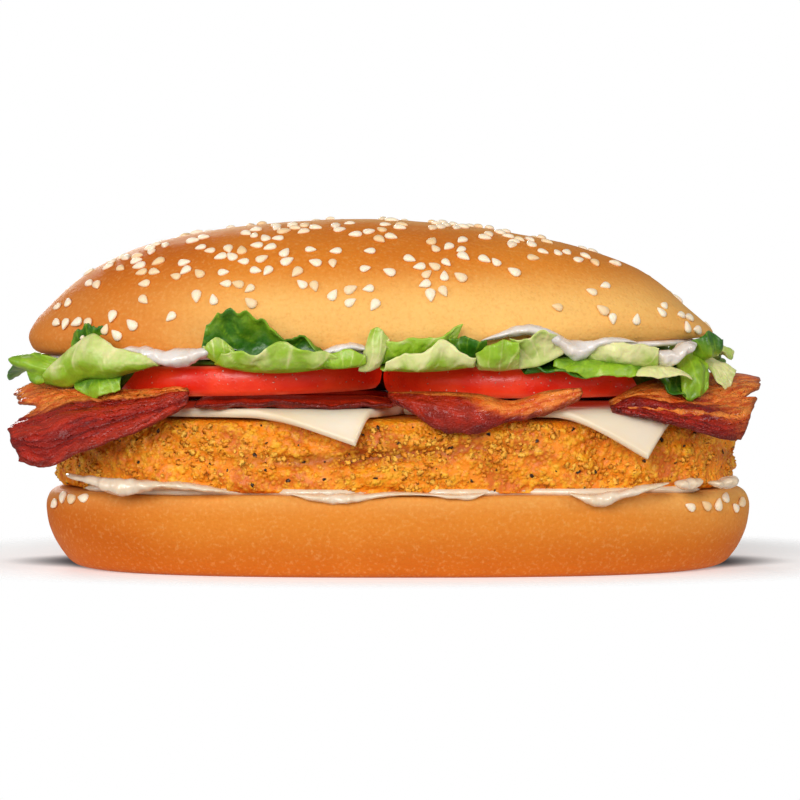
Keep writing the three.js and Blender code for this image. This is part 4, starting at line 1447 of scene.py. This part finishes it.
def fried_strip(node, seed):
    u, v = sheet_shares(190, 110)
    plain = strip_middle(node, u, v)
    length = np.linalg.norm(np.diff(plain[55], axis=0), axis=1).sum()
    width = np.linalg.norm(np.diff(plain[:, 150], axis=0), axis=1).sum()
    flat = np.stack([u * length, v * width, np.full_like(u, 9.0 * seed)], -1)
    middle = torn_middle(node, u, v, flat, length, width, seed)
    relief, ridge = strip_relief(v, flat, width, node in HANGING_STRIPS, seed)
    middle = middle + grid_normals(middle) * relief[..., None]
    rim = np.minimum(np.minimum(1 - u, u) * length, np.minimum(v, 1 - v) * width)
    taper = 0.45 + 0.55 * smooth(0, 4.5, rim)
    thickness = BACON_THICKNESS * rounded_rim(u, v, length, width, 0.7) * taper
    shares = {
        "fat": fat_share(node, u, v, flat, seed),
        "crisp": 1 - smooth(0.1, 1.8, rim + 0.8 * swells(flat, 3, seed + 6)),
        "ridge": ridge,
        "along": u * length,
        "across": v * width,
    }
    tones = {name: np.tile(values.ravel(), 2) for name, values in shares.items()}
    name = node.replace("bacon", "bacon_strip")
    piece = make_piece(name, thicken(middle, thickness), sheet_faces(*u.shape), bacon_paint, tones)
    stand_for(piece, "bacon", node)


def bacon_finish():
    finish = Finish("fried_bacon")
    fat, crisp, ridge = finish.tone("fat"), finish.tone("crisp"), finish.tone("ridge")
    lie = {0: finish.tone("along") * 0.22, 1: finish.tone("across"), 2: 0.0}
    lie = finish.node("ShaderNodeCombineXYZ", None, lie)
    streaks = finish.node("ShaderNodeTexNoise", None, {"Vector": lie, "Scale": 0.9, "Detail": 4.0})
    fine = finish.node("ShaderNodeTexNoise", None, {"Vector": lie, "Scale": 2.6, "Detail": 3.0})
    lean = finish.mix(streaks.rising(0.35, 0.65), ink(114, 12, 5), ink(170, 30, 10))
    fatty = finish.mix(streaks.rising(0.35, 0.65), ink(216, 88, 18), ink(250, 152, 62))
    colour = finish.mix((fat + fine * 0.5 - 0.25).rising(0.15, 0.85), lean, fatty)
    # Painted highlight on the ridge tops, and painted shade in the troughs between them.
    colour = finish.mix(ridge.rising(0.5, 1) * 0.3, colour, ink(214, 62, 24))
    colour = finish.mix((1 - ridge.rising(0.1, 0.5)) * 0.25, colour, ink(96, 16, 10))
    colour = finish.mix(crisp * 0.6, colour, ink(84, 20, 10))
    grain = finish.bump(finish.grain(1.3, 4), 0.4)
    sparkle = finish.bump(finish.grain(0.5, 2), 0.5, grain)
    return finish.surface(
        Base_Color=colour,
        Roughness=0.24 + finish.grain(1.1) * 0.2,
        Normal=sparkle,
        Coat_Weight=0.16,
        Coat_Roughness=0.07,
        Specular_IOR_Level=0.24,
        Subsurface_Weight=0.12,
        Subsurface_Radius=(1.0, 0.25, 0.1),
        Subsurface_Scale=1.0 * MM,
    )


bacon_paint = bacon_finish()
for number, node in enumerate(FAT_BANDS):
    fried_strip(node, 10 + 7 * number)

# %% [markdown]
# ## Tomato
# A slice is a disc: two wet cut faces and a band of taut skin. From the front only the skin shows, with
# a glossy light along it and small beads of juice. The skin isn't a perfect circle, so slow noise
# dents it a little.

# %% Slice the tomatoes
TOMATO_THICKNESS = 7.4
TOMATO_BOTTOM = 44.3
TOMATO_PROFILE = [
    (0.94, -1),
    (0.955, -1),
    (0.985, -0.72),
    (1, -0.2),
    (1, 0.3),
    (0.985, 0.75),
    (0.955, 1),
    (0.94, 1),
]
FLESH_SHARES = (0.1, 0.25, 0.4, 0.55, 0.7, 0.82, 0.9)  # the rings of a cut face
Slice = namedtuple("Slice", "x y radius tilt")
TOMATO_SLICES = {
    "tomato_left": Slice(-38.2, -1.8, 34.2, 1.2),
    "tomato_right": Slice(29.8, -1.8, 33.2, 0),
}


def tomato_grid(slice, seed):
    """A slice's points, and each one's share of the radius and of the thickness."""
    half = TOMATO_THICKNESS / 2
    angle = np.linspace(0, 2 * math.pi, 260, endpoint=False)[None, :]
    side = smooth_line([(share * slice.radius, z * half) for share, z in TOMATO_PROFILE], 34)
    inner = [(share * slice.radius, -half) for share in FLESH_SHARES]
    outer = [(r, half) for r, z in reversed(inner)]
    profile = inner + [(r, float(np.clip(z, -half, half))) for r, z in side] + outer
    radius, height = (np.array(column)[:, None] for column in zip(*profile))
    x, y = np.cos(angle) * radius, np.sin(angle) * radius
    z = TOMATO_BOTTOM + half + height + math.tan(math.radians(slice.tilt)) * (x + slice.radius)
    points = np.stack([slice.x + x, slice.y + y, z], -1)
    dent = swells(points, 18, seed) * 0.25 * smooth(0.6, 1.0, radius / slice.radius)
    points = points + grid_normals(points, True) * (dent * (np.abs(height) < half * 0.99))[..., None]
    share = np.broadcast_to(radius / slice.radius, x.shape)
    return points, share, np.broadcast_to((height / half + 1) / 2, x.shape)


def tomato_piece(node, slice, seed):
    points, share, level = tomato_grid(slice, seed)
    shares = {
        "radius": share,
        "level": level,
        "side": (share > 0.985) * (points[..., 1] < slice.y) * 1.0,  # the skin that shows in front
    }
    tones = {name: close_tones(values) for name, values in shares.items()}
    faces = ring_faces(*share.shape)
    piece = make_piece(node + "_slice", close_rings(points), faces, tomato_paint, tones)
    stand_for(piece, "tomato", node)
    return piece


print("a slice's rings:", len(TOMATO_PROFILE), "drawn smooth, and", len(FLESH_SHARES), "on each face")

# %% [markdown]
# ## Skin, flesh and juice
# The skin is a deep even red under a wet shine, with a paler band along its lower edge that is a painted
# highlight, and the flesh is lighter and cellular. Light goes into the wet skin and comes out again. A
# weak glow of the same colour is painted light: it keeps the band that the leaves shade as bright a red as
# the lit skin. Beads of juice are the same lumps as the crumbs, small, round and clear.

# %% Colour the tomatoes
JUICE_BEAD = Lump(0.34, 0.5, 1.3, 1.8e5, (1, 1, 0.7), 61, "side")


def tomato_finish():
    finish = Finish("ripe_tomato")
    radius, level = finish.tone("radius"), finish.tone("level")
    skin = finish.mix(finish.grain(12).rising(0.3, 0.7), ink(214, 34, 12), ink(232, 58, 22))
    # Painted highlight: the lower part of the skin is paler, like a bright wet edge.
    skin = finish.mix((1 - level.rising(0.0, 0.3)) * 0.35, skin, ink(244, 92, 50))
    flesh = finish.mix(finish.cells(6).rising(0.1, 0.6), ink(238, 110, 70), ink(222, 66, 40))
    colour = finish.mix(radius.rising(0.955, 0.985), flesh, skin)
    return finish.surface(
        Base_Color=colour,
        Roughness=0.26 + finish.grain(5) * 0.14,
        Normal=finish.bump(finish.grain(1.0, 3).rising(0.5, 0.8), 0.08),
        Coat_Weight=0.12,
        Coat_Roughness=0.12,
        Specular_IOR_Level=0.35,
        Subsurface_Weight=0.25,
        Subsurface_Radius=(1.0, 0.25, 0.1),
        Subsurface_Scale=3 * MM,
        # Painted light: the slice glows a little in its own colour, so the skin stays bright where the
        # leaves shade it.
        Emission_Color=colour,
        Emission_Strength=0.2,
    )


def juice_finish():
    finish = Finish("tomato_juice")
    colour = finish.mix(finish.tone("tone"), ink(232, 90, 60), ink(255, 190, 170))
    return finish.surface(Base_Color=colour, Roughness=0.05, Coat_Weight=1.0, Coat_Roughness=0.03)


tomato_paint = tomato_finish()
juice = scatter_tree("sow_juice", juice_finish(), JUICE_BEAD)
for number, (node, slice) in enumerate(TOMATO_SLICES.items()):
    tomato = tomato_piece(node, slice, 60 + number)
    scatter(node.replace("tomato", "juice_beads"), tomato, "tomato", *juice)

# %% [markdown]
# ## Sauce
# White sauce is a thin film on the bread. The film is turned like the bread, and its edge reaches out
# in lobes where more sauce was spread, and stays back in between.

# %% Spread the film
# Each lobe: its place along x, its side, how wide it is and how far it reaches, 1 being the edge.
UPPER_LOBES = [
    (-56, FRONT, 16, 1),
    (-16, FRONT, 10, 0.9),
    (33, FRONT, 14, 1),
    (54, FRONT, 8, 0.8),
    (69, FRONT, 8, 0.9),
    (-30, BACK, 14, 1),
    (26, BACK, 16, 0.8),
]
LOWER_LOBES = [
    (-60, FRONT, 15, 1),
    (-79, FRONT, 5, 0.75),
    (-21, FRONT, 10, 0.8),
    (17, FRONT, 9, 0.55),
    (52, FRONT, 12, 1),
    (75, FRONT, 5, 0.9),
    (-40, BACK, 14, 0.9),
    (8, BACK, 10, 0.7),
    (58, BACK, 15, 1),
]


def lobe_swell(lobes, x, y):
    swell = np.zeros_like(x)
    for at, side, width, most in lobes:
        near = np.exp(-(((x - at) / width) ** 4)) * most
        swell = np.maximum(swell, np.where(np.sign(y) == side, near, 0))
    return swell


def film_points(oval, lobes, under, over, edge_share, retreat, sectors=500):
    """A film between two heights, each a function of x, whose edge reaches out at its lobes."""
    angle = np.linspace(0, 2 * math.pi, sectors, endpoint=False)
    edge = outline(oval, angle)
    swell = lobe_swell(lobes, edge[:, 0], edge[:, 1])
    ragged = swells(np.stack([edge[:, 0], edge[:, 1], edge[:, 0] * 0], -1), 6, seed=12)
    reach = edge_share - retreat + (retreat + 0.005) * swell + 0.008 * ragged
    rows = []
    for inset, level in ((0.6, 0), (0.3, 0), (0.02, 0), (0, 0.5), (0.02, 1), (0.3, 1), (0.6, 1)):
        share = reach * (1 - inset)
        x = oval.x + (edge[:, 0] - oval.x) * share
        z = under(x) + (over(x) - under(x)) * level
        rows.append(np.stack([x, edge[:, 1] * share, z], -1))
    return np.array(rows)


def level_at(height):
    """A level film's height, for any x."""
    return lambda x: x * 0 + height


def below_cut(drop):
    """A height so far below the crown's cut face."""
    return lambda x: crown_cut(x) - drop


lower_film = film_points(HEEL, LOWER_LOBES, level_at(20.3), level_at(22.0), 0.985, 0.085)
upper_film = film_points(CROWN, UPPER_LOBES, below_cut(1.4), below_cut(-0.1), 0.99, 0.045)
print("points in the films:", lower_film.size // 3, "and", upper_film.size // 3)

# %% [markdown]
# ## Lips of sauce
# Where the layers press on it, the sauce is squeezed out in thick glossy lips. Each is a bead: a line
# through places of the picture, with an oval section that swells and shrinks along it. It is tucked in
# a little under what presses on it, so no gap shows from any side.

# %% Draw a bead of sauce
BEAD_TUCK = 1.2  # how far a lip reaches back in under what presses on it


def bead_points(line, rows=90, sides=22, seed=0):
    """A bead of sauce along (px, py, y, half height, half depth), closed at both ends."""
    knots = np.array([[*seen(px, py, y), tall, deep] for px, py, y, tall, deep in line])
    smoothed = smooth_line(knots, rows)
    middle, tall, deep = smoothed[:, :3], smoothed[:, 3], smoothed[:, 4]
    ends = np.sqrt(np.clip(1 - (2 * np.linspace(0, 1, rows) - 1) ** 6, 0.0, 1)) + 0.02
    along = np.gradient(middle, axis=0)
    along /= np.linalg.norm(along, axis=1, keepdims=True)
    up = np.array([0, 0, 1.0])
    out = np.cross(along, up)
    out /= np.linalg.norm(out, axis=1, keepdims=True)
    turn = np.linspace(0, 2 * math.pi, sides, endpoint=False)
    wide = ((deep + BEAD_TUCK) * ends)[:, None, None] * out[:, None] * np.cos(turn)[None, :, None]
    high = (tall * ends)[:, None, None] * up * np.sin(turn)[None, :, None]
    points = (middle - out * BEAD_TUCK)[:, None] + wide + high
    uneven = swells(points, 3.5, seed) * 0.35 * np.minimum(tall * ends, 1.6)[:, None]
    return points + (wide + high) * (uneven / np.maximum(tall, 0.3)[:, None])[..., None]


def join_shapes(shapes):
    """Several (points, faces) as one."""
    points, faces, start = [], [], 0
    for some, theirs in shapes:
        points.append(some)
        faces += [tuple(start + i for i in face) for face in theirs]
        start += len(some)
    return np.vstack(points), faces


def bead_shape(line, seed):
    points = bead_points(line, seed=seed)
    return close_rings(points), ring_faces(*points.shape[:2])


print("a bead is tucked in, in mm, by", BEAD_TUCK)

# %% Squeeze out the lips
def sauce_finish(name, colour, shade):
    finish = Finish(name)
    tint = finish.mix(finish.grain(7).rising(0.35, 0.7), colour, shade)
    return finish.surface(
        Base_Color=tint,
        Roughness=0.2 + finish.grain(3) * 0.14,
        Normal=finish.bump(finish.grain(1.8, 3), 0.12),
        Coat_Weight=0.35,
        Coat_Roughness=0.08,
        Subsurface_Weight=0.4,
        Subsurface_Radius=(1.0, 0.8, 0.6),
        Subsurface_Scale=2 * MM,
    )


# Each point of a lip: where it shows in the picture, its depth, its half height and half depth.
LOWER_LIPS = [
    [(63, 474, -27, 0.7, 0.8), (74, 478, -30, 0.8, 1.0), (92, 481, -33, 1.1, 1.2),
     (108, 486, -35.5, 1.9, 1.6), (125, 488, -37.2, 2.1, 1.8), (145, 486, -38, 1.3, 1.5),
     (165, 485, -38.6, 0.8, 1.2), (188, 487, -39, 0.9, 1.2), (208, 489.5, -39.4, 0.8, 1.2),
     (231, 492, -39.6, 0.3, 0.6)],
    [(288, 494, -39.7, 0.3, 0.6), (308, 497, -40.0, 0.9, 1.2), (335, 499, -40.2, 1.3, 1.4),
     (360, 498, -40.1, 0.9, 1.2), (385, 495, -39.9, 0.6, 1.0), (408, 494, -39.8, 0.4, 0.8),
     (430, 495, -39.8, 0.3, 0.8), (455, 497, -39.9, 0.8, 1.1), (471, 497, -39.9, 0.9, 1.2),
     (488, 493, -39.7, 0.3, 0.6)],
    [(567, 493, -39.4, 0.3, 0.6), (583, 498, -39.4, 0.9, 1.2), (599, 501, -39.4, 1.6, 1.5),
     (622, 495, -38.8, 1.2, 1.4), (645, 489, -37.8, 0.9, 1.2), (671, 483, -36, 0.4, 0.7)],
    [(677, 484, -35.6, 0.8, 1.0), (690, 485, -34.6, 1.4, 1.3), (704, 481, -33, 0.8, 1.0)],
    [(712, 483, -32, 0.5, 0.8), (725, 484, -30, 1.2, 1.2), (738, 480, -26, 1.5, 1.2)],
]
UPPER_LIPS = [
    [(112, 352, -31, 0.3, 0.8), (128, 350, -33, 0.9, 1.4), (145, 353, -35, 1.6, 1.8),
     (163, 358, -37, 1.9, 2.0), (182, 358, -38, 2.2, 2.0), (203, 353, -39, 1.2, 1.6),
     (222, 349, -39.6, 0.5, 1.0), (238, 350, -40, 0.3, 0.8)],
    [(317, 354, -40.6, 0.4, 0.8), (335, 350, -41, 1.0, 1.4), (352, 347, -41.2, 1.1, 1.4),
     (372, 350, -41, 0.5, 1.0)],
    [(480, 341, -41.4, 0.4, 0.8), (498, 336, -42, 0.8, 1.2), (518, 331, -42.4, 1.2, 1.4),
     (538, 331, -42.2, 1.4, 1.4), (556, 339, -41.6, 1.5, 1.4), (572, 350, -40.6, 2.2, 1.8),
     (585, 350, -40, 2.2, 1.6), (600, 343, -39.6, 1.2, 1.4), (622, 341, -39, 0.8, 1.2),
     (640, 343, -38, 0.5, 1.0)],
    [(655, 352, -35, 0.6, 1.0), (664, 358, -34, 1.8, 1.6), (675, 358, -33, 2.2, 1.6),
     (686, 349, -31.5, 1.7, 1.4), (697, 344, -28, 0.9, 1.0)],
]


def sauce_piece(name, slot_node, film, lips, finish):
    shapes = [(close_rings(film), ring_faces(*film.shape[:2]))]
    shapes += [bead_shape(line, 70 + number) for number, line in enumerate(lips)]
    piece = make_piece(name, *join_shapes(shapes), finish)
    stand_for(piece, "sauce", slot_node)


lower_paint = sauce_finish("cream_sauce", ink(232, 211, 186), ink(228, 203, 170))
upper_paint = sauce_finish("white_sauce", ink(230, 221, 214), ink(222, 208, 194))
sauce_piece("lower_sauce", "sauce_lower", lower_film, LOWER_LIPS, lower_paint)
sauce_piece("upper_sauce", "sauce_upper", upper_film, UPPER_LIPS, upper_paint)

# %% [markdown]
# ## Lettuce
# Torn leaves are pressed into one layer, and their edges stick out, curl up in front of the bread or
# hang over the bacon. A leaf is a thin wavy sheet between two lines: the near one, where it comes out
# of the layer, and the far one, its torn edge. The leaves at the front follow the picture; those at
# the ends and the back are drawn by rule. Ribs are pale, and the frilled edges are dark green.

# %% Where the front leaves lie
# near and far are lines of (px, py, y). bulge swells the middle towards the viewer, frill is the
# height of the ruffles, waves how many there are, jag how torn the far edge is, all in mm, and the
# greens are the shade at the near and at the far line: 0 pale rib, 0.5 bright green, 1 dark green.
Leaf = namedtuple("Leaf", "near far bulge frill waves jag greens")
print("a leaf is described by:", ", ".join(Leaf._fields))

# %% Lay out the front leaves
FRONT_LEAVES = [
    Leaf([(64, 360, -19), (60, 368, -19), (56, 374, -19), (48, 382, -18)],
         [(33, 352, -15), (12, 359, -13), (22, 370, -14), (40, 384, -16)],
         1.5, 0.9, 2, 0.7, (0.4, 0.75)),
    Leaf([(110, 348, -27.5), (92, 350, -26), (70, 352, -23.5)],
         [(105, 325, -30), (92, 326, -28.5), (74, 330, -26)], 0.3, 0.5, 2, 2.2, (0.7, 0.95)),
    Leaf([(160, 363, -35), (131, 372, -33.5), (108, 378, -31), (86, 378, -27), (68, 387, -22),
          (43, 383, -17)],
         [(160, 361, -36), (148, 354, -37), (130, 350, -36.5), (114, 347, -35), (91, 334, -30.5),
          (72, 348, -25), (52, 366, -19)],
         3.0, 0.5, 1.5, 0.15, (0.6, 0.2)),
    Leaf([(74, 383, -23), (95, 379, -28), (122, 376, -32)],
         [(78, 391, -25), (98, 398, -30), (118, 389, -33.5)], 0.6, 0.5, 1.5, 0.6, (0.85, 0.5)),
    Leaf([(200, 353, -38.5), (240, 362, -39.5), (290, 360, -40.5), (324, 354, -41)],
         [(206, 324, -41), (232, 309, -43), (256, 318, -44), (284, 336, -44), (320, 351, -43)],
         -2.5, 1.4, 2.5, 1.5, (1.0, 0.8)),
    Leaf([(200, 352, -38.6), (222, 364, -39.5), (250, 366, -40)],
         [(204, 348, -40), (214, 338, -41.5), (232, 346, -41.5)], 1.0, 0.6, 1.5, 0.7, (0.55, 0.4)),
    Leaf([(214, 364, -38), (248, 371, -39), (290, 372, -40), (338, 366, -40)],
         [(222, 352, -43.5), (252, 353, -45), (278, 344, -46), (338, 356, -43)],
         1.4, 0.8, 3, 0.5, (0.62, 0.35)),
    Leaf([(322, 368, -39.5), (345, 367, -40), (366, 365, -40)],
         [(326, 356, -42), (348, 350, -43.5), (366, 354, -42.5)], 2.2, 0.3, 1, 0.3, (0.6, 0.5)),
    Leaf([(358, 371, -40), (368, 371, -40.5), (380, 366, -40)],
         [(370, 330, -42.5), (379, 328, -43), (390, 340, -42.5)], 1.4, 0.5, 1, 0.4, (0.15, 0.3)),
    Leaf([(378, 364, -39.5), (403, 358, -40.5), (430, 352, -41), (456, 342, -41)],
         [(380, 338, -42), (405, 340, -43.5), (434, 336, -44), (464, 325, -44)],
         0.8, 0.8, 2, 0.5, (0.6, 0.4)),
    Leaf([(446, 356, -40), (468, 357, -40.5), (488, 354, -40.5)],
         [(448, 339, -42.5), (466, 337, -43), (487, 342, -42.5)], 0.6, 0.7, 1.5, 0.9, (0.95, 0.85)),
    Leaf([(380, 369, -40), (410, 371, -41), (442, 370, -41.5), (474, 366, -41)],
         [(386, 363, -44), (415, 353, -46), (442, 341, -46.5), (477, 357, -44.5)],
         2.0, 0.8, 2, 0.4, (0.5, 0.1)),
    Leaf([(478, 369, -40.5), (500, 370, -41), (519, 368, -41)],
         [(476, 356, -44.5), (492, 342, -47), (518, 341, -45)], 2.6, 0.8, 1.5, 0.3, (0.35, 0.45)),
    Leaf([(518, 369, -40), (541, 365, -40.5), (564, 353, -40)],
         [(510, 336, -43.5), (531, 338, -44.5), (545, 328, -44.5), (567, 347, -42)],
         -1.2, 0.9, 2, 0.4, (0.12, 0.25)),
    Leaf([(524, 374, -38), (560, 370, -38.5), (600, 374, -38)],
         [(530, 366, -40), (565, 374, -41), (600, 378, -40)], 0.4, 0.5, 2, 0.6, (0.95, 0.9)),
    Leaf([(555, 358, -38), (590, 360, -38.5), (642, 366, -35)],
         [(553, 366, -40), (585, 377, -42), (636, 375, -39)], 1.2, 0.6, 2.5, 0.5, (0.8, 0.5)),
    Leaf([(585, 360, -37), (620, 365, -37), (658, 367, -33)],
         [(596, 343, -40), (625, 342, -40), (659, 348, -36.5)], 1.6, 0.4, 1, 0.2, (0.3, 0.05)),
    Leaf([(632, 371, -35), (655, 366, -33), (672, 368, -31)],
         [(636, 378, -39), (662, 376, -38), (693, 379, -34)], 0.8, 0.5, 1.5, 0.3, (0.1, 0.15)),
    Leaf([(654, 370, -26), (675, 372, -25), (692, 374, -23)],
         [(664, 384, -30), (682, 398, -31), (694, 400, -29)], -1.2, 0.7, 1.5, 0.7, (0.95, 0.9)),
    Leaf([(676, 364, -26), (690, 352, -24), (702, 356, -21)],
         [(683, 396, -31), (694, 401, -30.5), (708, 390, -27)], 2.6, 0.7, 1.5, 0.4, (0.5, 0.65)),
    Leaf([(691, 358, -24), (702, 360, -21), (712, 356, -18)],
         [(692, 342, -26), (706, 331, -25.5), (722, 338, -21)], 3.0, 0.9, 1.5, 0.5, (0.55, 0.8)),
    Leaf([(700, 359, -19), (712, 358, -16)],
         [(716, 384, -21), (729, 390, -20), (736, 371, -16)], 1.0, 0.6, 1, 0.2, (0.1, 0.2)),
]
print("front leaves:", len(FRONT_LEAVES))

# %% [markdown]
# ## The form of a leaf
# A leaf's neck runs into the pressed layer. Outside it the sheet arches, its edge ruffles, and fine
# crinkles and veins cover it. Near its far line noise tears it. The shade from rib to frill, and how
# near each point is to a vein, are kept as numbers.

# %% Grow a leaf
LEAF_THICKNESS = 0.55
NECK = 0.35  # how much of a leaf's length lies inside the layer


def leaf_lines(near, far, count):
    """The near and the far line of a leaf, and the line where its neck starts inside the layer."""
    near = smooth_line(near, count)
    far = smooth_line(far, count)
    inward = np.stack([near[:, 0] * 0.93, near[:, 1] * 0.74, np.full(count, 53.9)], -1)
    return inward, near, far


def leaf_relief(flat, u, v, bulge, frill, waves, seed):
    """How far each point of a leaf stands off its plain surface, and how near it is to a vein."""
    shown = smooth(-0.05, 0.35, v)
    arch = bulge * np.sin(math.pi * np.clip(v, 0, 1)) * np.sin(math.pi * (0.1 + 0.8 * u))
    turns = 2 * math.pi * waves * u + 1.7 * seed + 1.5 * v + 1.6 * swells(flat, 9, seed + 2)
    ruffle = frill * shown * np.clip(v, 0, 1) ** 0.7 * np.sin(turns)
    crinkle = 0.55 * swells(flat, 4, seed + 3) + 0.12 * swells(flat, 1.3, seed + 4, 1)
    fan = (u - 0.5) * 3.4 / (0.45 + 0.55 * np.clip(v, 0, 1)) + 0.7 * swells(flat, 9, seed + 9, 2)
    vein = np.exp(-((fan % 1 - 0.5) ** 2) / 0.004) * shown
    return arch + ruffle + crinkle * shown + 0.12 * vein, vein


def leaf_shape(near, far, bulge, frill, waves, jag, greens, seed, columns=52, rows=38):
    """The points, faces and shades of a leaf; near and far are lines in mm."""
    inward, near, far = leaf_lines(near, far, columns)
    u = np.linspace(0, 1, columns)[None, :]
    v = np.linspace(-NECK, 1, rows)[:, None]
    width = np.linalg.norm(np.diff((near + far) / 2, axis=0), axis=1).sum()
    reach = np.linalg.norm(far - near, axis=1)
    flat = np.stack([u * width + 0 * v, v * reach, 31.0 * seed + 0 * u * v], -1)
    torn = jag * swells(flat * (1, 0.1, 1), 3.2, seed, 4)
    out = np.clip(v, 0, 1) * (1 + torn / np.maximum(reach, 5))
    tuck = np.clip(-v / NECK, 0, 1) ** 0.8
    middle = near[None] + (far - near)[None] * out[..., None] + (inward - near)[None] * tuck[..., None]
    normals = grid_normals(middle)
    facing = np.sign((normals * np.array([0, -1, 0.35])).sum(-1).mean()) or 1
    relief, vein = leaf_relief(flat, u, v, bulge, frill, waves, seed)
    middle = middle + normals * (facing * relief)[..., None]
    rim = rounded_rim(u + 0 * v, np.clip(v, 0.04, 1) + 0 * u, width, 14, 0.5)
    shade = greens[0] + (greens[1] - greens[0]) * smooth(0, 1, v) + 0 * u
    shade = np.clip(shade + 0.2 * swells(flat, 7, seed + 5), 0, 1)
    tones = {"green": np.tile(shade.ravel(), 2), "vein": np.tile(vein.ravel(), 2)}
    return thicken(middle, LEAF_THICKNESS * rim), sheet_faces(rows, columns), tones


def join_leaves(name, leaves, finish):
    points, faces = join_shapes([leaf[:2] for leaf in leaves])
    tones = {key: np.concatenate([leaf[2][key] for leaf in leaves]) for key in ("green", "vein")}
    piece = make_piece(name, points, faces, finish, tones)
    stand_for(piece, "lettuce", "lettuce")


print("a leaf's neck, as a share of its length:", NECK)

# %% [markdown]
# ## The colours of lettuce
# Ribs are nearly white, the leaf is yellow-green near them and dark green at its frill. Light shines
# through a leaf, so it scatters green under the surface. One finish serves every leaf.

# %% Colour the front leaves
def lettuce_finish():
    finish = Finish("fresh_lettuce")
    green, vein = finish.tone("green"), finish.tone("vein")
    mottle = finish.grain(2.4, 3)
    shade = green + (mottle - 0.5) * 0.35 - vein * 0.16
    colour = finish.mix(shade.rising(0.0, 0.5), ink(228, 226, 158), ink(150, 186, 38))
    colour = finish.mix(shade.rising(0.45, 1.0), colour, ink(48, 104, 14))
    relief = finish.bump(finish.grain(1.0, 3), 0.16)
    return finish.surface(
        Base_Color=colour,
        Roughness=0.3 + mottle * 0.16,
        Normal=relief,
        Coat_Weight=0.06,
        Coat_Roughness=0.15,
        Specular_IOR_Level=0.4,
        Subsurface_Weight=0.35,
        Subsurface_Radius=(0.5, 1.0, 0.2),
        Subsurface_Scale=1.4 * MM,
    )


lettuce_paint = lettuce_finish()
front_leaves = []
for number, leaf in enumerate(FRONT_LEAVES):
    near = [seen(*spot) for spot in leaf.near]
    far = [seen(*spot) for spot in leaf.far]
    front_leaves.append(leaf_shape(near, far, *leaf[2:], seed=number + 1))
join_leaves("lettuce_front", front_leaves, lettuce_paint)

# %% [markdown]
# ## What the picture doesn't show
# Round the ends and the back small leaves stand out of the layer, one every ten degrees, each with a
# width, a reach and a shade of its own from a seeded draw. Under them all lies the pressed layer
# itself, which sinks into the hollows beside the slices of tomato.

# %% Lay leaves round the ends and the back
def rim_point(angle, out, z):
    """A place beside the crown's edge, so many mm outside it."""
    place = outline(CROWN, angle) + outward(CROWN, angle) * out
    return (*place, z)


def round_leaves(start=2, end=182, step=10):
    random = seeded_random(7)
    leaves = []
    for number, bearing in enumerate(range(start, end, step)):
        end_on = abs(math.cos(math.radians(bearing))) ** 4
        wide = 13 + 6 * next(random) + 8 * end_on
        rise = -7 + (15 - 9 * end_on) * next(random)
        reach = 3.5 + 3.5 * next(random)
        near, far = [], []
        for share in (0, 0.33, 0.67, 1):
            angle = math.radians(bearing + wide * (share - 0.5))
            arch = math.sin(math.pi * (0.15 + 0.7 * share))
            near.append(rim_point(angle, -1.5, 54.2 - 0.5 * next(random)))
            far.append(rim_point(angle, -1.5 + (1.5 + reach) * arch, 55 + rise * arch))
        greens = (0.2 + 0.6 * next(random), 0.3 + 0.6 * next(random))
        bulge, waves = 2 * next(random) - 0.5, 1.5 + 1.5 * next(random)
        leaves.append(
            leaf_shape(near, far, bulge, 1.0, waves, 0.8, greens, seed=40 + number, rows=30)
        )
    return leaves


join_leaves("lettuce_round", round_leaves(), lettuce_paint)

# %% Press the layer under the leaves
def beyond_tomatoes(x, y):
    """How far a place lies outside both slices of tomato, in mm."""
    gaps = [np.hypot(x - slice.x, y - slice.y) - slice.radius for slice in TOMATO_SLICES.values()]
    return np.minimum(*gaps)


BED_RINGS = [(0.3, 0), (0.5, 0), (0.6, 0), (0.68, 0), (0.74, 0), (0.79, 0), (0.83, 0.03), (0.86, 0.12)]
BED_RINGS += [(0.885, 0.4), (0.88, 0.7), (0.86, 0.9), (0.8, 1), (0.6, 1), (0.3, 1)]
BED_SAG = 8.6
BED_LEVEL = 52.0


def lettuce_bed():
    """The pressed layer: wavy at its edge, and sunk into the hollows beside the tomatoes."""
    angle = np.linspace(0, 2 * math.pi, 420, endpoint=False)[None, :]
    share, level = (np.array(column)[:, None] for column in zip(*BED_RINGS))
    uneven = 1 + 0.03 * smooth(0.5, 0.84, share) * np.sin(9 * angle)
    edge = outline(CROWN, angle)
    x = CROWN.x + (edge[..., 0] - CROWN.x) * share * uneven
    y = edge[..., 1] * share * uneven
    top = crown_cut(x) - 1.5
    wavy = 0.9 + 0.1 * swells(np.stack([x, y, 0 * x], -1), 5, 35)
    open_notch = 1 - smooth(-4, -12, y) * smooth(44, 34, np.abs(x + 4))
    sag = BED_SAG * smooth(0.3, 3.5, beyond_tomatoes(x, y)) * wavy * open_notch
    bottom = BED_LEVEL - sag
    z = bottom + (top - bottom) * level
    points = np.stack([x, y, z], -1)
    ragged = swells(points, 5, 33) * 0.8 * smooth(0.7, 0.87, share)
    points += grid_normals(points, True) * ragged[..., None]
    # The layer is dark green: lettuce's own colour, made dark also as painted shade where it shows in the
    # gaps beside the tomatoes.
    tones = {"green": close_tones(0.85 + 0 * x), "vein": close_tones(0 * x)}
    return close_rings(points), ring_faces(*x.shape), tones


join_leaves("lettuce_bed", [lettuce_bed()], lettuce_paint)

# %% [markdown]
# ## Print the size
# The dressed sandwich has to fill the same box as the CAD model, within the little that soft food may
# stand proud.

# %% Print the boxes
boxes = {
    "cad": [list(corner) for corner in cad_box],
    "visual": [list(corner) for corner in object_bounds()],
}
for name, box in boxes.items():
    print(name, [[round(v / MM, 1) for v in corner] for corner in box])
